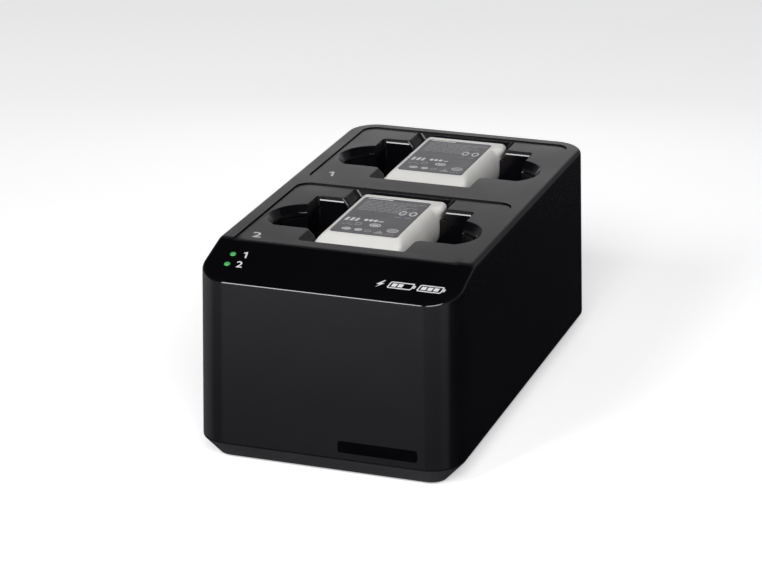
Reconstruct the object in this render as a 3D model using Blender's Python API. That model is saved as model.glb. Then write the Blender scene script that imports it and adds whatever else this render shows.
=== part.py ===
"""Two-bay desktop charging dock for the battery packs of a wireless microphone set.

Frame: metres, +Z up, +Y to the rear and +X to the right, seen from the front. The origin lies on
the surface that the dock stands on, under the middle of the housing. Heights below are counted
from the underside of the base, and the empty "dock" lifts everything by what the feet stand proud.
"""
import math

import bmesh
import bpy

MM = 0.001

# Housing: outer size at the parting line, and how far each wall leans in up to the deck
WIDTH = 95.0 * MM
DEPTH = 168.0 * MM
DECK_Z = 72.5 * MM
PARTING_Z = 6.4 * MM
CORNER_R = 11.5 * MM
SIDE_DRAFT = 0.9 * MM
FRONT_DRAFT = 2.5 * MM
REAR_DRAFT = 2.0 * MM
WALL = 2.2 * MM
ROOF = 2.0 * MM
GAP = 0.3 * MM
SLOPE_TOP_Y = -58.0 * MM
SLOPE_ANGLE = math.radians(17.0)

# Base tray and feet
BASE_CHAMFER_X = 5.9 * MM
BASE_CHAMFER_Y = 5.25 * MM
BASE_FLOOR = 2.2 * MM
LIP_TOP_Z = 8.6 * MM
LIP_THICKNESS = 1.2 * MM
FOOT_PROUD = 1.0 * MM
FOOT_R = 5.0 * MM
FOOT_RECESS = 0.8 * MM
FOOT_X = 29.0 * MM
FOOT_Y = 64.0 * MM
CASE_SCREW_X = 38.0 * MM
CASE_SCREW_Y = 73.0 * MM
BOSS_TOP_Z = 50.0 * MM

# Bays: the circle at each end of the pocket is centred on the bay's own y = 0
BAY_Y = {1: 42.5 * MM, 2: -29.0 * MM}
PANEL_X = 41.0 * MM
PANEL_R = 5.5 * MM
PANEL_DROP = 0.45 * MM
PANEL_Y = {1: (10.5 * MM, 77.0 * MM), 2: (-57.2 * MM, 5.9 * MM)}
FLANGE_SIDE = 2.3 * MM
FLANGE_REACH = {1: (2.2 * MM, 1.6 * MM), 2: (0.5 * MM, 2.1 * MM)}
BEZEL_BOTTOM_Z = 68.4 * MM
TUB_FLANGE_BOTTOM_Z = 66.6 * MM
TUB_WALL = 1.6 * MM
TUB_FLOOR_Z = 16.0 * MM
SHELF_Z = 57.0 * MM
CIRCLE_X = 25.6 * MM
CIRCLE_R = 13.55 * MM
POCKET_FRONT = -11.2 * MM
POST_X = 29.8 * MM
POST_Y = 22.8 * MM
SLOT_X = 19.45 * MM
SLOT_FRONT = -23.4 * MM
SLOT_REAR = 33.6 * MM
LEAD_IN = 2.1 * MM
POST_LEAD_IN = 0.5 * MM
LEAD_IN_DEPTH = 2.4 * MM
TUB_LIP = 0.4 * MM
LUG_TOP_Z = 71.4 * MM

# Battery pack
PACK_HALF_WIDTH = 16.65 * MM
PACK_FLAT = 12.6 * MM
PACK_BOTTOM_Z = 57.3 * MM
PACK_TOP_Z = 72.3 * MM
PACK_FRONT = -22.1 * MM
PACK_REAR = 30.6 * MM
PACK_BEVEL_Y = -11.0 * MM
PACK_BEVEL_ANGLE = math.radians(18.8)
PACK_KEY_X = 17.0 * MM
PACK_KEY_Y = (23.6 * MM, 29.1 * MM)
PACK_KEY_Z = 69.0 * MM
PACK_WALL = 1.4 * MM
PACK_SPLIT_Z = 60.3 * MM
LABEL_X = 12.35 * MM
LABEL_Y = (-11.0 * MM, 26.5 * MM)
LABEL_THICKNESS = 0.3 * MM

# Spring contacts
PACK_CONTACT_Y = -17.6 * MM
PACK_PIN_X = (-5.5 * MM, 0.0, 5.5 * MM)
PACK_PIN_TOP_Z = 58.4 * MM
PACK_PIN_LENGTH = 10.8 * MM
PACK_BLOCK_Z = 44.5 * MM
RADIO_PIN_X = (-3.0 * MM, 3.0 * MM)
RADIO_PIN_TOP_Z = 19.2 * MM
RADIO_PIN_LENGTH = 6.0 * MM
RADIO_BLOCK_X = 7.0 * MM
RADIO_BLOCK_Y = 3.0 * MM
PIN_R = 0.9 * MM
PIN_BORE_R = 1.3 * MM

# Electronics
BOARD_Z = 8.0 * MM
BOARD_THICKNESS = 1.6 * MM
BOARD_X = 33.5 * MM
BOARD_Y = (-66.0 * MM, 79.5 * MM)
BOARD_SCREW_X = 29.0 * MM
BOARD_SCREW_Y = (-60.0 * MM, 60.0 * MM)
BOARD_TOP_Z = BOARD_Z + BOARD_THICKNESS
JACK_X = 22.0 * MM
JACK_Z = 15.6 * MM
JACK_BACK_Y = 80.6 * MM
JACK_TOP_Z = 20.6 * MM
JACK_R = 3.9 * MM
JACK_BORE_R = 3.0 * MM
JACK_NOZZLE = 2.7 * MM
LIGHT_X = -37.4 * MM
LIGHT_Y = {1: -67.1 * MM, 2: -72.5 * MM}
LIGHT_R = 1.25 * MM
LIGHT_DOME = 0.7 * MM
LIGHT_BOARD_DEPTH = 8.4 * MM

ARC_STEPS = 6
ROUND_STEPS = 16


# ---------------------------------------------------------------- outlines

def arc(x, y, radius, start_deg, end_deg, steps=ARC_STEPS):
    """Points on a circle from one angle to another, both ends included."""
    points = []
    for i in range(steps + 1):
        angle = math.radians(start_deg + (end_deg - start_deg) * i / steps)
        points.append((x + radius * math.cos(angle), y + radius * math.sin(angle)))
    return points


def circle(x, y, radius, steps=ROUND_STEPS):
    return arc(x, y, radius, 0.0, 360.0, steps)[:-1]


def rounded_box(half_x, y_front, y_rear, radius, steps=ARC_STEPS):
    """A rectangle with round corners, anticlockwise from its front right corner."""
    inner_x = half_x - radius
    front = y_front + radius
    rear = y_rear - radius
    return (arc(inner_x, front, radius, -90, 0, steps) + arc(inner_x, rear, radius, 0, 90, steps)
            + arc(-inner_x, rear, radius, 90, 180, steps) + arc(-inner_x, front, radius, 180, 270, steps))


def filleted(corners, steps=3):
    """Rounds each (x, y, radius) corner of a closed outline; radius 0 keeps the point."""
    points = []
    count = len(corners)
    for i, (x, y, radius) in enumerate(corners):
        if radius == 0:
            points.append((x, y))
            continue
        before = corners[i - 1]
        after = corners[(i + 1) % count]
        ax, ay = before[0] - x, before[1] - y
        bx, by = after[0] - x, after[1] - y
        la, lb = math.hypot(ax, ay), math.hypot(bx, by)
        ax, ay, bx, by = ax / la, ay / la, bx / lb, by / lb
        half = math.acos(max(-1.0, min(1.0, ax * bx + ay * by))) / 2
        reach = radius / math.tan(half)
        mx, my = ax + bx, ay + by
        lm = math.hypot(mx, my)
        cx = x + mx / lm * radius / math.sin(half)
        cy = y + my / lm * radius / math.sin(half)
        start = math.atan2(y + ay * reach - cy, x + ax * reach - cx)
        turn = math.atan2(y + by * reach - cy, x + bx * reach - cx) - start
        turn = (turn + math.pi) % (2 * math.pi) - math.pi
        for k in range(steps + 1):
            angle = start + turn * k / steps
            points.append((cx + radius * math.cos(angle), cy + radius * math.sin(angle)))
    return points


def pocket_outline(inset, post_inset, slot=True):
    """The opening of a bay in the bay's own x and y. With slot False it leaves out the slot's two ends."""
    radius = CIRCLE_R - inset
    front = POCKET_FRONT + post_inset
    post_y = POST_Y - post_inset
    post_x = POST_X - post_inset
    slot_x = SLOT_X - inset
    start = math.degrees(math.asin(front / radius))
    end = math.degrees(math.acos((post_x - CIRCLE_X) / radius))
    right = []
    if slot:
        right += [(slot_x, SLOT_FRONT + post_inset, 1.0 * MM), (slot_x, front, 2.0 * MM)]
    right += [(x, y, 0) for x, y in arc(CIRCLE_X, 0, radius, start, end, 8)]
    right += [(post_x, post_y, 1.5 * MM)]
    if slot:
        right += [(slot_x, post_y, 1.0 * MM), (slot_x, SLOT_REAR - post_inset, 1.5 * MM)]
    left = [(-x, y, r) for x, y, r in reversed(right)]
    return filleted(right + left)


def housing_ring(z, inset_x=0.0, inset_y=None):
    """The housing's outline at height z, leaning in with the drafts, and moved in by the inset."""
    inset_y = inset_x if inset_y is None else inset_y
    rise = (z - PARTING_Z) / (DECK_Z - PARTING_Z)
    rise = max(0.0, rise)
    half_x = WIDTH / 2 - SIDE_DRAFT * rise - inset_x
    front = -DEPTH / 2 + FRONT_DRAFT * rise + inset_y
    rear = DEPTH / 2 - REAR_DRAFT * rise - inset_y
    radius = max(CORNER_R - inset_x, 2.0 * MM)
    return [(x, y, z) for x, y in rounded_box(half_x, front, rear, radius)]


def pack_ring(y, half_width, bottom, top, steps=4):
    """The pack's cross-section at y: flat above and below, with elliptical sides."""
    side = PACK_HALF_WIDTH - PACK_FLAT
    flat = half_width - side
    mid, rise = (bottom + top) / 2, (top - bottom) / 2
    right = []
    for i in range(2 * steps + 1):
        angle = math.radians(-90 + 90 * i / steps)
        right.append((flat + side * math.cos(angle), y, mid + rise * math.sin(angle)))
    return right + [(-x, y, z) for x, y, z in reversed(right)]


# ---------------------------------------------------------------- meshes

def at_height(outline, z):
    return [(x, y, z) for x, y in outline]


def stack(rings):
    """Bridges rings of equal length in turn and caps the first and the last."""
    bm = bmesh.new()
    rows = [[bm.verts.new(point) for point in ring] for ring in rings]
    count = len(rows[0])
    for low, high in zip(rows, rows[1:]):
        for i in range(count):
            j = (i + 1) % count
            bm.faces.new((low[i], low[j], high[j], high[i]))
    bm.faces.new(list(reversed(rows[0])))
    bm.faces.new(rows[-1])
    bmesh.ops.recalc_face_normals(bm, faces=bm.faces)
    return bm


def prism(outline, z_low, z_high):
    return stack([at_height(outline, z) for z in (z_low, z_high)])


def block(x0, x1, y0, y1, z0, z1):
    return prism([(x0, y0), (x1, y0), (x1, y1), (x0, y1)], z0, z1)


def clip(bm, point, normal):
    """Removes what lies on the normal's side of a plane and closes the cut."""
    geometry = bm.verts[:] + bm.edges[:] + bm.faces[:]
    cut = bmesh.ops.bisect_plane(bm, geom=geometry, plane_co=point, plane_no=normal, clear_outer=True)
    edges = [item for item in cut["geom_cut"] if isinstance(item, bmesh.types.BMEdge)]
    bmesh.ops.contextual_create(bm, geom=edges)
    bmesh.ops.recalc_face_normals(bm, faces=bm.faces)
    return bm


def material(name, colour, roughness, metallic=0.0):
    mat = bpy.data.materials.get(name)
    if mat is None:
        mat = bpy.data.materials.new(name)
        mat.use_nodes = True
        shader = mat.node_tree.nodes["Principled BSDF"]
        shader.inputs["Base Color"].default_value = (*colour, 1.0)
        shader.inputs["Roughness"].default_value = roughness
        shader.inputs["Metallic"].default_value = metallic
    return mat


def finishes():
    """One material for each kind of surface."""
    return {
        "gloss_black": material("gloss_black", (0.012, 0.011, 0.013), 0.15),
        "matt_black": material("matt_black", (0.035, 0.034, 0.036), 0.6),
        "base_grey": material("base_grey", (0.06, 0.06, 0.062), 0.55),
        "pack_white": material("pack_white", (0.75, 0.74, 0.71), 0.35),
        "label_grey": material("label_grey", (0.09, 0.09, 0.095), 0.5),
        "contact_gold": material("contact_gold", (0.9, 0.65, 0.25), 0.3, 1.0),
        "board_green": material("board_green", (0.02, 0.12, 0.05), 0.5),
        "component_black": material("component_black", (0.02, 0.02, 0.02), 0.5),
        "cell_blue": material("cell_blue", (0.05, 0.12, 0.35), 0.4),
        "light_green": material("light_green", (0.05, 0.6, 0.15), 0.2),
        "screw_steel": material("screw_steel", (0.5, 0.5, 0.5), 0.35, 1.0),
        "foot_rubber": material("foot_rubber", (0.02, 0.02, 0.02), 0.8),
        "ribbon_grey": material("ribbon_grey", (0.35, 0.35, 0.37), 0.6),
    }


def add(name, bm, finish, parent, location=(0, 0, 0), tilt=0.0, smooth=True):
    """Makes one object from a mesh in its own coordinates."""
    mesh = bpy.data.meshes.new(name)
    bm.to_mesh(mesh)
    bm.free()
    if smooth:
        mesh.shade_smooth()
        mesh.set_sharp_from_angle(angle=math.radians(35))
    piece = bpy.data.objects.new(name, mesh)
    bpy.context.scene.collection.objects.link(piece)
    piece.location = location
    piece.rotation_euler = (tilt, 0, 0)
    piece.parent = parent
    if finish:
        mesh.materials.append(finish)
    return piece


def combine(target, tool_mesh, operation, location=(0, 0, 0), tilt=0.0):
    """Joins or cuts a target with a tool that stays in the file as a hidden wire guide."""
    index = len(target.modifiers) + 1
    tool = add(f"{target.name}_tool_{index}", tool_mesh, None, target.parent, location, tilt, False)
    tool.hide_render = True
    tool.display_type = "WIRE"
    modifier = target.modifiers.new(f"{operation.lower()}_{index}", "BOOLEAN")
    modifier.operation = operation
    modifier.solver = "EXACT"
    modifier.object = tool


def cut(target, tool_mesh, location=(0, 0, 0), tilt=0.0):
    combine(target, tool_mesh, "DIFFERENCE", location, tilt)


def join(target, tool_mesh, location=(0, 0, 0), tilt=0.0):
    combine(target, tool_mesh, "UNION", location, tilt)


def empty(name, location, parent=None, tilt=0.0):
    frame = bpy.data.objects.new(name, None)
    bpy.context.scene.collection.objects.link(frame)
    frame.location = location
    frame.rotation_euler = (tilt, 0, 0)
    frame.parent = parent
    return frame


# ---------------------------------------------------------------- housing

def slope_z(y):
    """Height of the sloped front band's surface at y."""
    return DECK_Z + (y - SLOPE_TOP_Y) * math.tan(SLOPE_ANGLE)


def sloped_body(rings, sink):
    """A body of stacked rings, cut by the slope, or by the slope moved down by its wall."""
    sine, cosine = math.sin(SLOPE_ANGLE), math.cos(SLOPE_ANGLE)
    point = (0, SLOPE_TOP_Y + sine * sink, DECK_Z - cosine * sink)
    return clip(stack(rings), point, (0, -sine, cosine))


def build_housing(dock, looks):
    bottom = PARTING_Z + GAP / 2
    outer = sloped_body([housing_ring(bottom), housing_ring(DECK_Z)], 0.0)
    shell = add("housing_shell", outer, looks["gloss_black"], dock)
    hollow_rings = [housing_ring(bottom - 2 * MM, WALL), housing_ring(DECK_Z - ROOF, WALL)]
    cut(shell, sloped_body(hollow_rings, WALL))
    for bay, (front, rear) in PANEL_Y.items():
        opening = rounded_box(PANEL_X, front, rear, PANEL_R)
        cut(shell, prism(opening, DECK_Z - 2 * ROOF, DECK_Z + 2 * MM))
    front_step = block(-PANEL_X, PANEL_X, SLOPE_TOP_Y - 4 * MM, PANEL_Y[2][0] + PANEL_R,
                       DECK_Z - PANEL_DROP, DECK_Z + 2 * MM)
    cut(shell, front_step)
    for x in (-CASE_SCREW_X, CASE_SCREW_X):
        for y in (-CASE_SCREW_Y, CASE_SCREW_Y):
            join(shell, prism(circle(x, y, 3.6 * MM), BOARD_Z, BOSS_TOP_Z))
            near, far = sorted((y, math.copysign(DEPTH / 2 - 2.1 * MM, y)))
            join(shell, block(x - 0.8 * MM, x + 0.8 * MM, near, far, LIP_TOP_Z + GAP, BOSS_TOP_Z - 1 * MM))
            cut(shell, prism(circle(x, y, 1.7 * MM, 12), BOARD_Z - 2 * MM, 20 * MM))
    for y in LIGHT_Y.values():
        light_hole = prism(circle(0, 0, LIGHT_R + GAP, 16), -5 * MM, 5 * MM)
        cut(shell, light_hole, (LIGHT_X, y, slope_z(y)), SLOPE_ANGLE)
    jack_hole = prism(circle(0, 0, 4.3 * MM, 16), -3 * MM, 3 * MM)
    cut(shell, jack_hole, (JACK_X, DEPTH / 2 - 2 * MM, JACK_Z), math.radians(90))


def build_base(dock, looks):
    top = PARTING_Z - GAP / 2
    rings = [
        housing_ring(0.0, BASE_CHAMFER_X, BASE_CHAMFER_Y),
        housing_ring(top),
        housing_ring(top, WALL + GAP),
        housing_ring(LIP_TOP_Z, WALL + GAP),
        housing_ring(LIP_TOP_Z, WALL + GAP + LIP_THICKNESS),
        housing_ring(4.6 * MM, WALL + GAP + LIP_THICKNESS),
        housing_ring(BASE_FLOOR, 7.0 * MM),
    ]
    base = add("base_cover", stack(rings), looks["base_grey"], dock)
    for x in (-CASE_SCREW_X, CASE_SCREW_X):
        for y in (-CASE_SCREW_Y, CASE_SCREW_Y):
            join(base, prism(circle(x, y, 4.4 * MM), 1.0 * MM, BOARD_Z - GAP))
            cut(base, prism(circle(x, y, 3.1 * MM, 16), -1 * MM, 3.5 * MM))
            cut(base, prism(circle(x, y, 1.7 * MM, 12), -1 * MM, BOARD_Z + 1 * MM))
    for x in (-BOARD_SCREW_X, BOARD_SCREW_X):
        for y in BOARD_SCREW_Y:
            join(base, prism(circle(x, y, 3.0 * MM, 16), 1.5 * MM, BOARD_Z - GAP))
            cut(base, prism(circle(x, y, 1.4 * MM, 12), 3.0 * MM, BOARD_Z + 1 * MM))
    for x in (-FOOT_X, FOOT_X):
        for y in (-FOOT_Y, FOOT_Y):
            cut(base, prism(circle(x, y, FOOT_R + GAP, 20), -1 * MM, FOOT_RECESS))
    number = 0
    for y in (-FOOT_Y, FOOT_Y):
        for x in (-FOOT_X, FOOT_X):
            number += 1
            profile = [(FOOT_R - 0.3 * MM, -FOOT_PROUD), (FOOT_R, 0.4 * MM - FOOT_PROUD),
                       (FOOT_R, FOOT_RECESS - GAP)]
            foot = stack([at_height(circle(0, 0, r, 20), z) for r, z in profile])
            add(f"rubber_foot_{number}", foot, looks["foot_rubber"], dock, (x, y, 0))


def screw_mesh(head_r, head_height, shank_r, length):
    """A pan-head screw that stands on its head."""
    profile = [(head_r - 0.4 * MM, 0), (head_r, 0.4 * MM), (head_r, head_height), (shank_r, head_height),
               (shank_r, length)]
    return stack([at_height(circle(0, 0, r, 10), z) for r, z in profile])


def build_screws(dock, looks):
    number = 0
    for y in (-CASE_SCREW_Y, CASE_SCREW_Y):
        for x in (-CASE_SCREW_X, CASE_SCREW_X):
            number += 1
            mesh = screw_mesh(2.7 * MM, 1.9 * MM, 1.35 * MM, 16.0 * MM)
            add(f"case_screw_{number}", mesh, looks["screw_steel"], dock, (x, y, 1.3 * MM))
    number = 0
    for y in BOARD_SCREW_Y:
        for x in (-BOARD_SCREW_X, BOARD_SCREW_X):
            number += 1
            head = 1.4 * MM
            mesh = screw_mesh(2.2 * MM, head, 1.05 * MM, 7.0 * MM)
            for vert in mesh.verts:
                vert.co.z *= -1
            bmesh.ops.reverse_faces(mesh, faces=mesh.faces)
            place = (x, y, BOARD_TOP_Z + GAP + head)
            add(f"board_screw_{number}", mesh, looks["screw_steel"], dock, place)


# ---------------------------------------------------------------- bays

def build_bay(number, dock, looks):
    """Bezel, tub and contacts of one bay, built about the bay's own origin."""
    y = BAY_Y[number]
    bay = empty(f"bay_{number}", (0, y, 0), dock)
    front, rear = (edge - y for edge in PANEL_Y[number])

    panel = rounded_box(PANEL_X - GAP, front + GAP, rear - GAP, PANEL_R - GAP)
    reach_front, reach_rear = FLANGE_REACH[number]
    flange = rounded_box(PANEL_X + FLANGE_SIDE, front - reach_front, rear + reach_rear,
                         PANEL_R + FLANGE_SIDE)
    step_z = DECK_Z - ROOF - GAP
    bezel_rings = [at_height(flange, BEZEL_BOTTOM_Z), at_height(flange, step_z),
                   at_height(panel, step_z), at_height(panel, DECK_Z - PANEL_DROP)]
    bezel = add(f"bay_bezel_{number}", stack(bezel_rings), looks["matt_black"], bay)
    wide = pocket_outline(0.0, 0.0)
    narrow = pocket_outline(LEAD_IN, POST_LEAD_IN)
    panel_z = DECK_Z - PANEL_DROP
    above = 0.25 * MM
    spread = above / LEAD_IN_DEPTH
    wider = pocket_outline(-LEAD_IN * spread, -POST_LEAD_IN * spread)
    opening = [at_height(narrow, BEZEL_BOTTOM_Z - 1 * MM), at_height(narrow, panel_z - LEAD_IN_DEPTH),
               at_height(wide, panel_z), at_height(wider, panel_z + above)]
    cut(bezel, stack(opening))

    tub_top = BEZEL_BOTTOM_Z - GAP
    tub = add(f"bay_tub_{number}", prism(flange, TUB_FLANGE_BOTTOM_Z, tub_top), looks["gloss_black"], bay)
    inner_inset = LEAD_IN + TUB_LIP
    inner_post = POST_LEAD_IN + TUB_LIP
    deep_outer = pocket_outline(inner_inset - TUB_WALL, inner_post - TUB_WALL, slot=False)
    join(tub, prism(deep_outer, TUB_FLOOR_Z - TUB_WALL, tub_top - 0.5 * MM))
    slot_x = SLOT_X - inner_inset
    slot_front, slot_rear = SLOT_FRONT + inner_post, SLOT_REAR - inner_post
    slot_outer = rounded_box(slot_x + TUB_WALL, slot_front - TUB_WALL, slot_rear + TUB_WALL, 2.5 * MM, 3)
    join(tub, prism(slot_outer, SHELF_Z - TUB_WALL, tub_top - 0.5 * MM))
    deep_inner = pocket_outline(inner_inset, inner_post, slot=False)
    cut(tub, prism(deep_inner, TUB_FLOOR_Z, tub_top + 1 * MM))
    slot_inner = rounded_box(slot_x, slot_front, slot_rear, 1.2 * MM, 3)
    cut(tub, prism(slot_inner, SHELF_Z, tub_top + 1 * MM))
    for side in (-1, 1):
        low, high = sorted((side * (slot_x + 2.4 * MM), side * (POST_X - 1.2 * MM)))
        join(tub, block(low, high, POST_Y - inner_post - 0.05 * MM, POST_Y - POST_LEAD_IN - GAP,
                        TUB_FLANGE_BOTTOM_Z, LUG_TOP_Z))
    for x in PACK_PIN_X:
        cut(tub, prism(circle(x, PACK_CONTACT_Y, PIN_BORE_R, 12), SHELF_Z - 4 * MM, SHELF_Z + 2 * MM))
    window_x, window_y = RADIO_BLOCK_X + GAP, RADIO_BLOCK_Y + GAP
    cut(tub, block(-window_x, window_x, -window_y, window_y, TUB_FLOOR_Z - 4 * MM, TUB_FLOOR_Z + 1 * MM))
    build_contacts(number, bay, looks)


def contact_block(name, bay, looks, half_x, y0, y1, z0, z1, pins):
    """A moulded block with one blind bore for each spring contact."""
    piece = add(name, block(-half_x, half_x, y0, y1, z0, z1), looks["component_black"], bay)
    for x in pins:
        cut(piece, prism(circle(x, (y0 + y1) / 2, PIN_BORE_R, 12), z0 + 1.2 * MM, z1 + 1 * MM))
    return piece


def pin_mesh(length):
    """A spring contact, its domed tip at the origin and its stem below."""
    profile = [(PIN_R, -length), (PIN_R, -0.5 * MM), (PIN_R * 0.75, -0.15 * MM), (PIN_R * 0.3, 0)]
    return stack([at_height(circle(0, 0, r, 12), z) for r, z in profile])


def build_contacts(number, bay, looks):
    block_top = SHELF_Z - TUB_WALL - GAP
    contact_block(f"battery_contact_block_{number}", bay, looks, 11 * MM, PACK_CONTACT_Y - 4 * MM,
                  PACK_CONTACT_Y + 4 * MM, PACK_BLOCK_Z, block_top, PACK_PIN_X)
    contact_block(f"transmitter_contact_block_{number}", bay, looks, RADIO_BLOCK_X, -RADIO_BLOCK_Y,
                  RADIO_BLOCK_Y, BOARD_TOP_Z + GAP, TUB_FLOOR_Z + 1.6 * MM, RADIO_PIN_X)
    gold = looks["contact_gold"]
    for letter, x in zip("abc", PACK_PIN_X):
        place = (x, PACK_CONTACT_Y, PACK_PIN_TOP_Z)
        add(f"battery_contact_pin_{number}{letter}", pin_mesh(PACK_PIN_LENGTH), gold, bay, place)
    for letter, x in zip("ab", RADIO_PIN_X):
        place = (x, 0, RADIO_PIN_TOP_Z)
        add(f"transmitter_contact_pin_{number}{letter}", pin_mesh(RADIO_PIN_LENGTH), gold, bay, place)
    lead = block(-4 * MM, 4 * MM, PACK_CONTACT_Y - 0.4 * MM, PACK_CONTACT_Y + 0.4 * MM,
                 BOARD_TOP_Z + GAP, PACK_BLOCK_Z - GAP)
    add(f"battery_contact_lead_{number}", lead, looks["ribbon_grey"], bay)


# ---------------------------------------------------------------- battery packs

def pack_body(inset):
    """The pack's outer form, or the hollow inside it: round at both ends, with a sloped front."""
    front, rear = PACK_FRONT + inset, PACK_REAR - inset
    stations = [
        (front, 2.0 * MM),
        (front + 0.7 * MM, 0.9 * MM),
        (front + 2.2 * MM, 0.2 * MM),
        (front + 3.6 * MM, 0.0),
        (rear - 2.0 * MM, 0.0),
        (rear - 0.6 * MM, 0.5 * MM),
        (rear, 1.4 * MM),
    ]
    rings = []
    for y, pulled_in in stations:
        shrink = inset + (pulled_in / 3 if inset else pulled_in)
        rings.append(pack_ring(y, PACK_HALF_WIDTH - shrink, PACK_BOTTOM_Z + shrink, PACK_TOP_Z - shrink))
    sine, cosine = math.sin(PACK_BEVEL_ANGLE), math.cos(PACK_BEVEL_ANGLE)
    on_bevel = (0, PACK_BEVEL_Y + sine * inset, PACK_TOP_Z - cosine * inset)
    return clip(stack(rings), on_bevel, (0, -sine, cosine))


def pack_key():
    """The ear at the right rear corner, which lets the pack in only one way round."""
    front, rear = PACK_KEY_Y
    inner_x = PACK_FLAT - 4 * MM
    stations = [
        (front, PACK_HALF_WIDTH - 1.2 * MM),
        (front + 2.0 * MM, PACK_KEY_X - 0.1 * MM),
        (rear - 1.6 * MM, PACK_KEY_X),
        (rear - 0.5 * MM, PACK_KEY_X - 0.6 * MM),
        (rear, PACK_KEY_X - 1.8 * MM),
    ]
    rings = []
    for y, outer_x in stations:
        outline = [
            (inner_x, PACK_KEY_Z),
            (outer_x - 0.3 * MM, PACK_KEY_Z),
            (outer_x, PACK_KEY_Z + 1.0 * MM),
            (outer_x - 0.2 * MM, PACK_KEY_Z + 2.2 * MM),
            (outer_x - 1.2 * MM, PACK_TOP_Z - 0.1 * MM),
            (inner_x, PACK_TOP_Z - 0.1 * MM),
        ]
        rings.append([(x, y, z) for x, z in outline])
    return stack(rings)


def build_pack(number, dock, looks):
    """One battery pack; every piece hangs on the empty that marks where the pack lifts out."""
    y = BAY_Y[number]
    lift = empty(f"battery_{number}_lift", (0, y, 0), dock)
    name = f"battery_{number}"

    below = clip(pack_body(0.0), (0, 0, PACK_SPLIT_Z - GAP / 2), (0, 0, 1))
    tray = add(f"{name}_tray", below, looks["pack_white"], lift)
    cut(tray, pack_body(PACK_WALL))
    window = block(-8.5 * MM, 8.5 * MM, PACK_CONTACT_Y - 2.7 * MM, PACK_CONTACT_Y + 2.7 * MM,
                   PACK_BOTTOM_Z - 1 * MM, PACK_BOTTOM_Z + PACK_WALL + 1 * MM)
    cut(tray, window)

    above = clip(pack_body(0.0), (0, 0, PACK_SPLIT_Z + GAP / 2), (0, 0, -1))
    cover = add(f"{name}_cover", above, looks["pack_white"], lift)
    join(cover, pack_key())
    cut(cover, pack_body(PACK_WALL))
    recess = block(-LABEL_X - GAP, LABEL_X + GAP, LABEL_Y[0] - GAP, LABEL_Y[1] + GAP,
                   PACK_TOP_Z - LABEL_THICKNESS - GAP, PACK_TOP_Z + 1 * MM)
    cut(cover, recess)
    label = block(-LABEL_X, LABEL_X, *LABEL_Y, PACK_TOP_Z - LABEL_THICKNESS, PACK_TOP_Z)
    add(f"{name}_label", label, looks["label_grey"], lift, smooth=False)

    floor = PACK_BOTTOM_Z + PACK_WALL
    cell_outline = rounded_box(11.0 * MM, -9.6 * MM, 24.0 * MM, 2.5 * MM, 4)
    cell = prism(cell_outline, floor + 0.4 * MM, floor + 11.0 * MM)
    add(f"{name}_cell", cell, looks["cell_blue"], lift)
    guard = block(-12.5 * MM, 12.5 * MM, -19.0 * MM, -10.6 * MM, floor + 2.6 * MM, floor + 3.6 * MM)
    board = add(f"{name}_protection_board", guard, looks["board_green"], lift, smooth=False)
    join(board, block(-6 * MM, -1 * MM, -17.0 * MM, -12.5 * MM, floor + 3.4 * MM, floor + 4.8 * MM))
    join(board, block(3 * MM, 6 * MM, -16.5 * MM, -13.5 * MM, floor + 3.4 * MM, floor + 4.5 * MM))
    strip = block(-10 * MM, 10 * MM, PACK_CONTACT_Y - 1.5 * MM, PACK_CONTACT_Y + 3.6 * MM,
                  floor + GAP, floor + 1.2 * MM)
    contacts = add(f"{name}_contact_strip", strip, looks["contact_gold"], lift, smooth=False)
    for x in PACK_PIN_X:
        pad = block(x - 1.8 * MM, x + 1.8 * MM, PACK_CONTACT_Y - 1.3 * MM, PACK_CONTACT_Y + 1.8 * MM,
                    floor, floor + 0.6 * MM)
        join(contacts, pad)


# ---------------------------------------------------------------- electronics

def build_electronics(dock, looks):
    low, high = BOARD_Y
    board = add("main_circuit_board", block(-BOARD_X, BOARD_X, low, high, BOARD_Z, BOARD_TOP_Z),
                looks["board_green"], dock, smooth=False)
    for x in (-BOARD_SCREW_X, BOARD_SCREW_X):
        for y in BOARD_SCREW_Y:
            cut(board, prism(circle(x, y, 1.5 * MM, 12), BOARD_Z - 1 * MM, BOARD_TOP_Z + 1 * MM))
    seat = BOARD_TOP_Z + GAP
    add("smoothing_capacitor", prism(circle(0, 0, 5.0 * MM), 0, 16 * MM), looks["component_black"], dock,
        (-18 * MM, 72 * MM, seat))
    for number, x in ((1, -14 * MM), (2, 14 * MM)):
        choke = prism(filleted([(-6 * MM, -6 * MM, 2 * MM), (6 * MM, -6 * MM, 2 * MM),
                                (6 * MM, 6 * MM, 2 * MM), (-6 * MM, 6 * MM, 2 * MM)]), 0, 6.5 * MM)
        add(f"charge_choke_{number}", choke, looks["component_black"], dock, (x, 12 * MM, seat))
        add(f"charge_regulator_{number}", block(-3 * MM, 3 * MM, -3 * MM, 3 * MM, 0, 1.2 * MM),
            looks["component_black"], dock, (x, 24 * MM, seat), smooth=False)

    back = JACK_BACK_Y
    jack_box = block(JACK_X - 4.5 * MM, JACK_X + 4.5 * MM, back - 13.5 * MM, back, seat, JACK_TOP_Z)
    jack = add("power_jack", jack_box, looks["component_black"], dock)
    quarter_turn = math.radians(90)
    nozzle = prism(circle(0, 0, JACK_R, 16), -JACK_NOZZLE, 1 * MM)
    join(jack, nozzle, (JACK_X, back, JACK_Z), quarter_turn)
    bore = prism(circle(0, 0, JACK_BORE_R, 16), -2 * JACK_NOZZLE, 9 * MM)
    cut(jack, bore, (JACK_X, back, JACK_Z), quarter_turn)
    centre_pin = prism(circle(0, 0, 1.0 * MM, 10), -1.8 * MM, 10 * MM)
    join(jack, centre_pin, (JACK_X, back, JACK_Z), quarter_turn)


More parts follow.
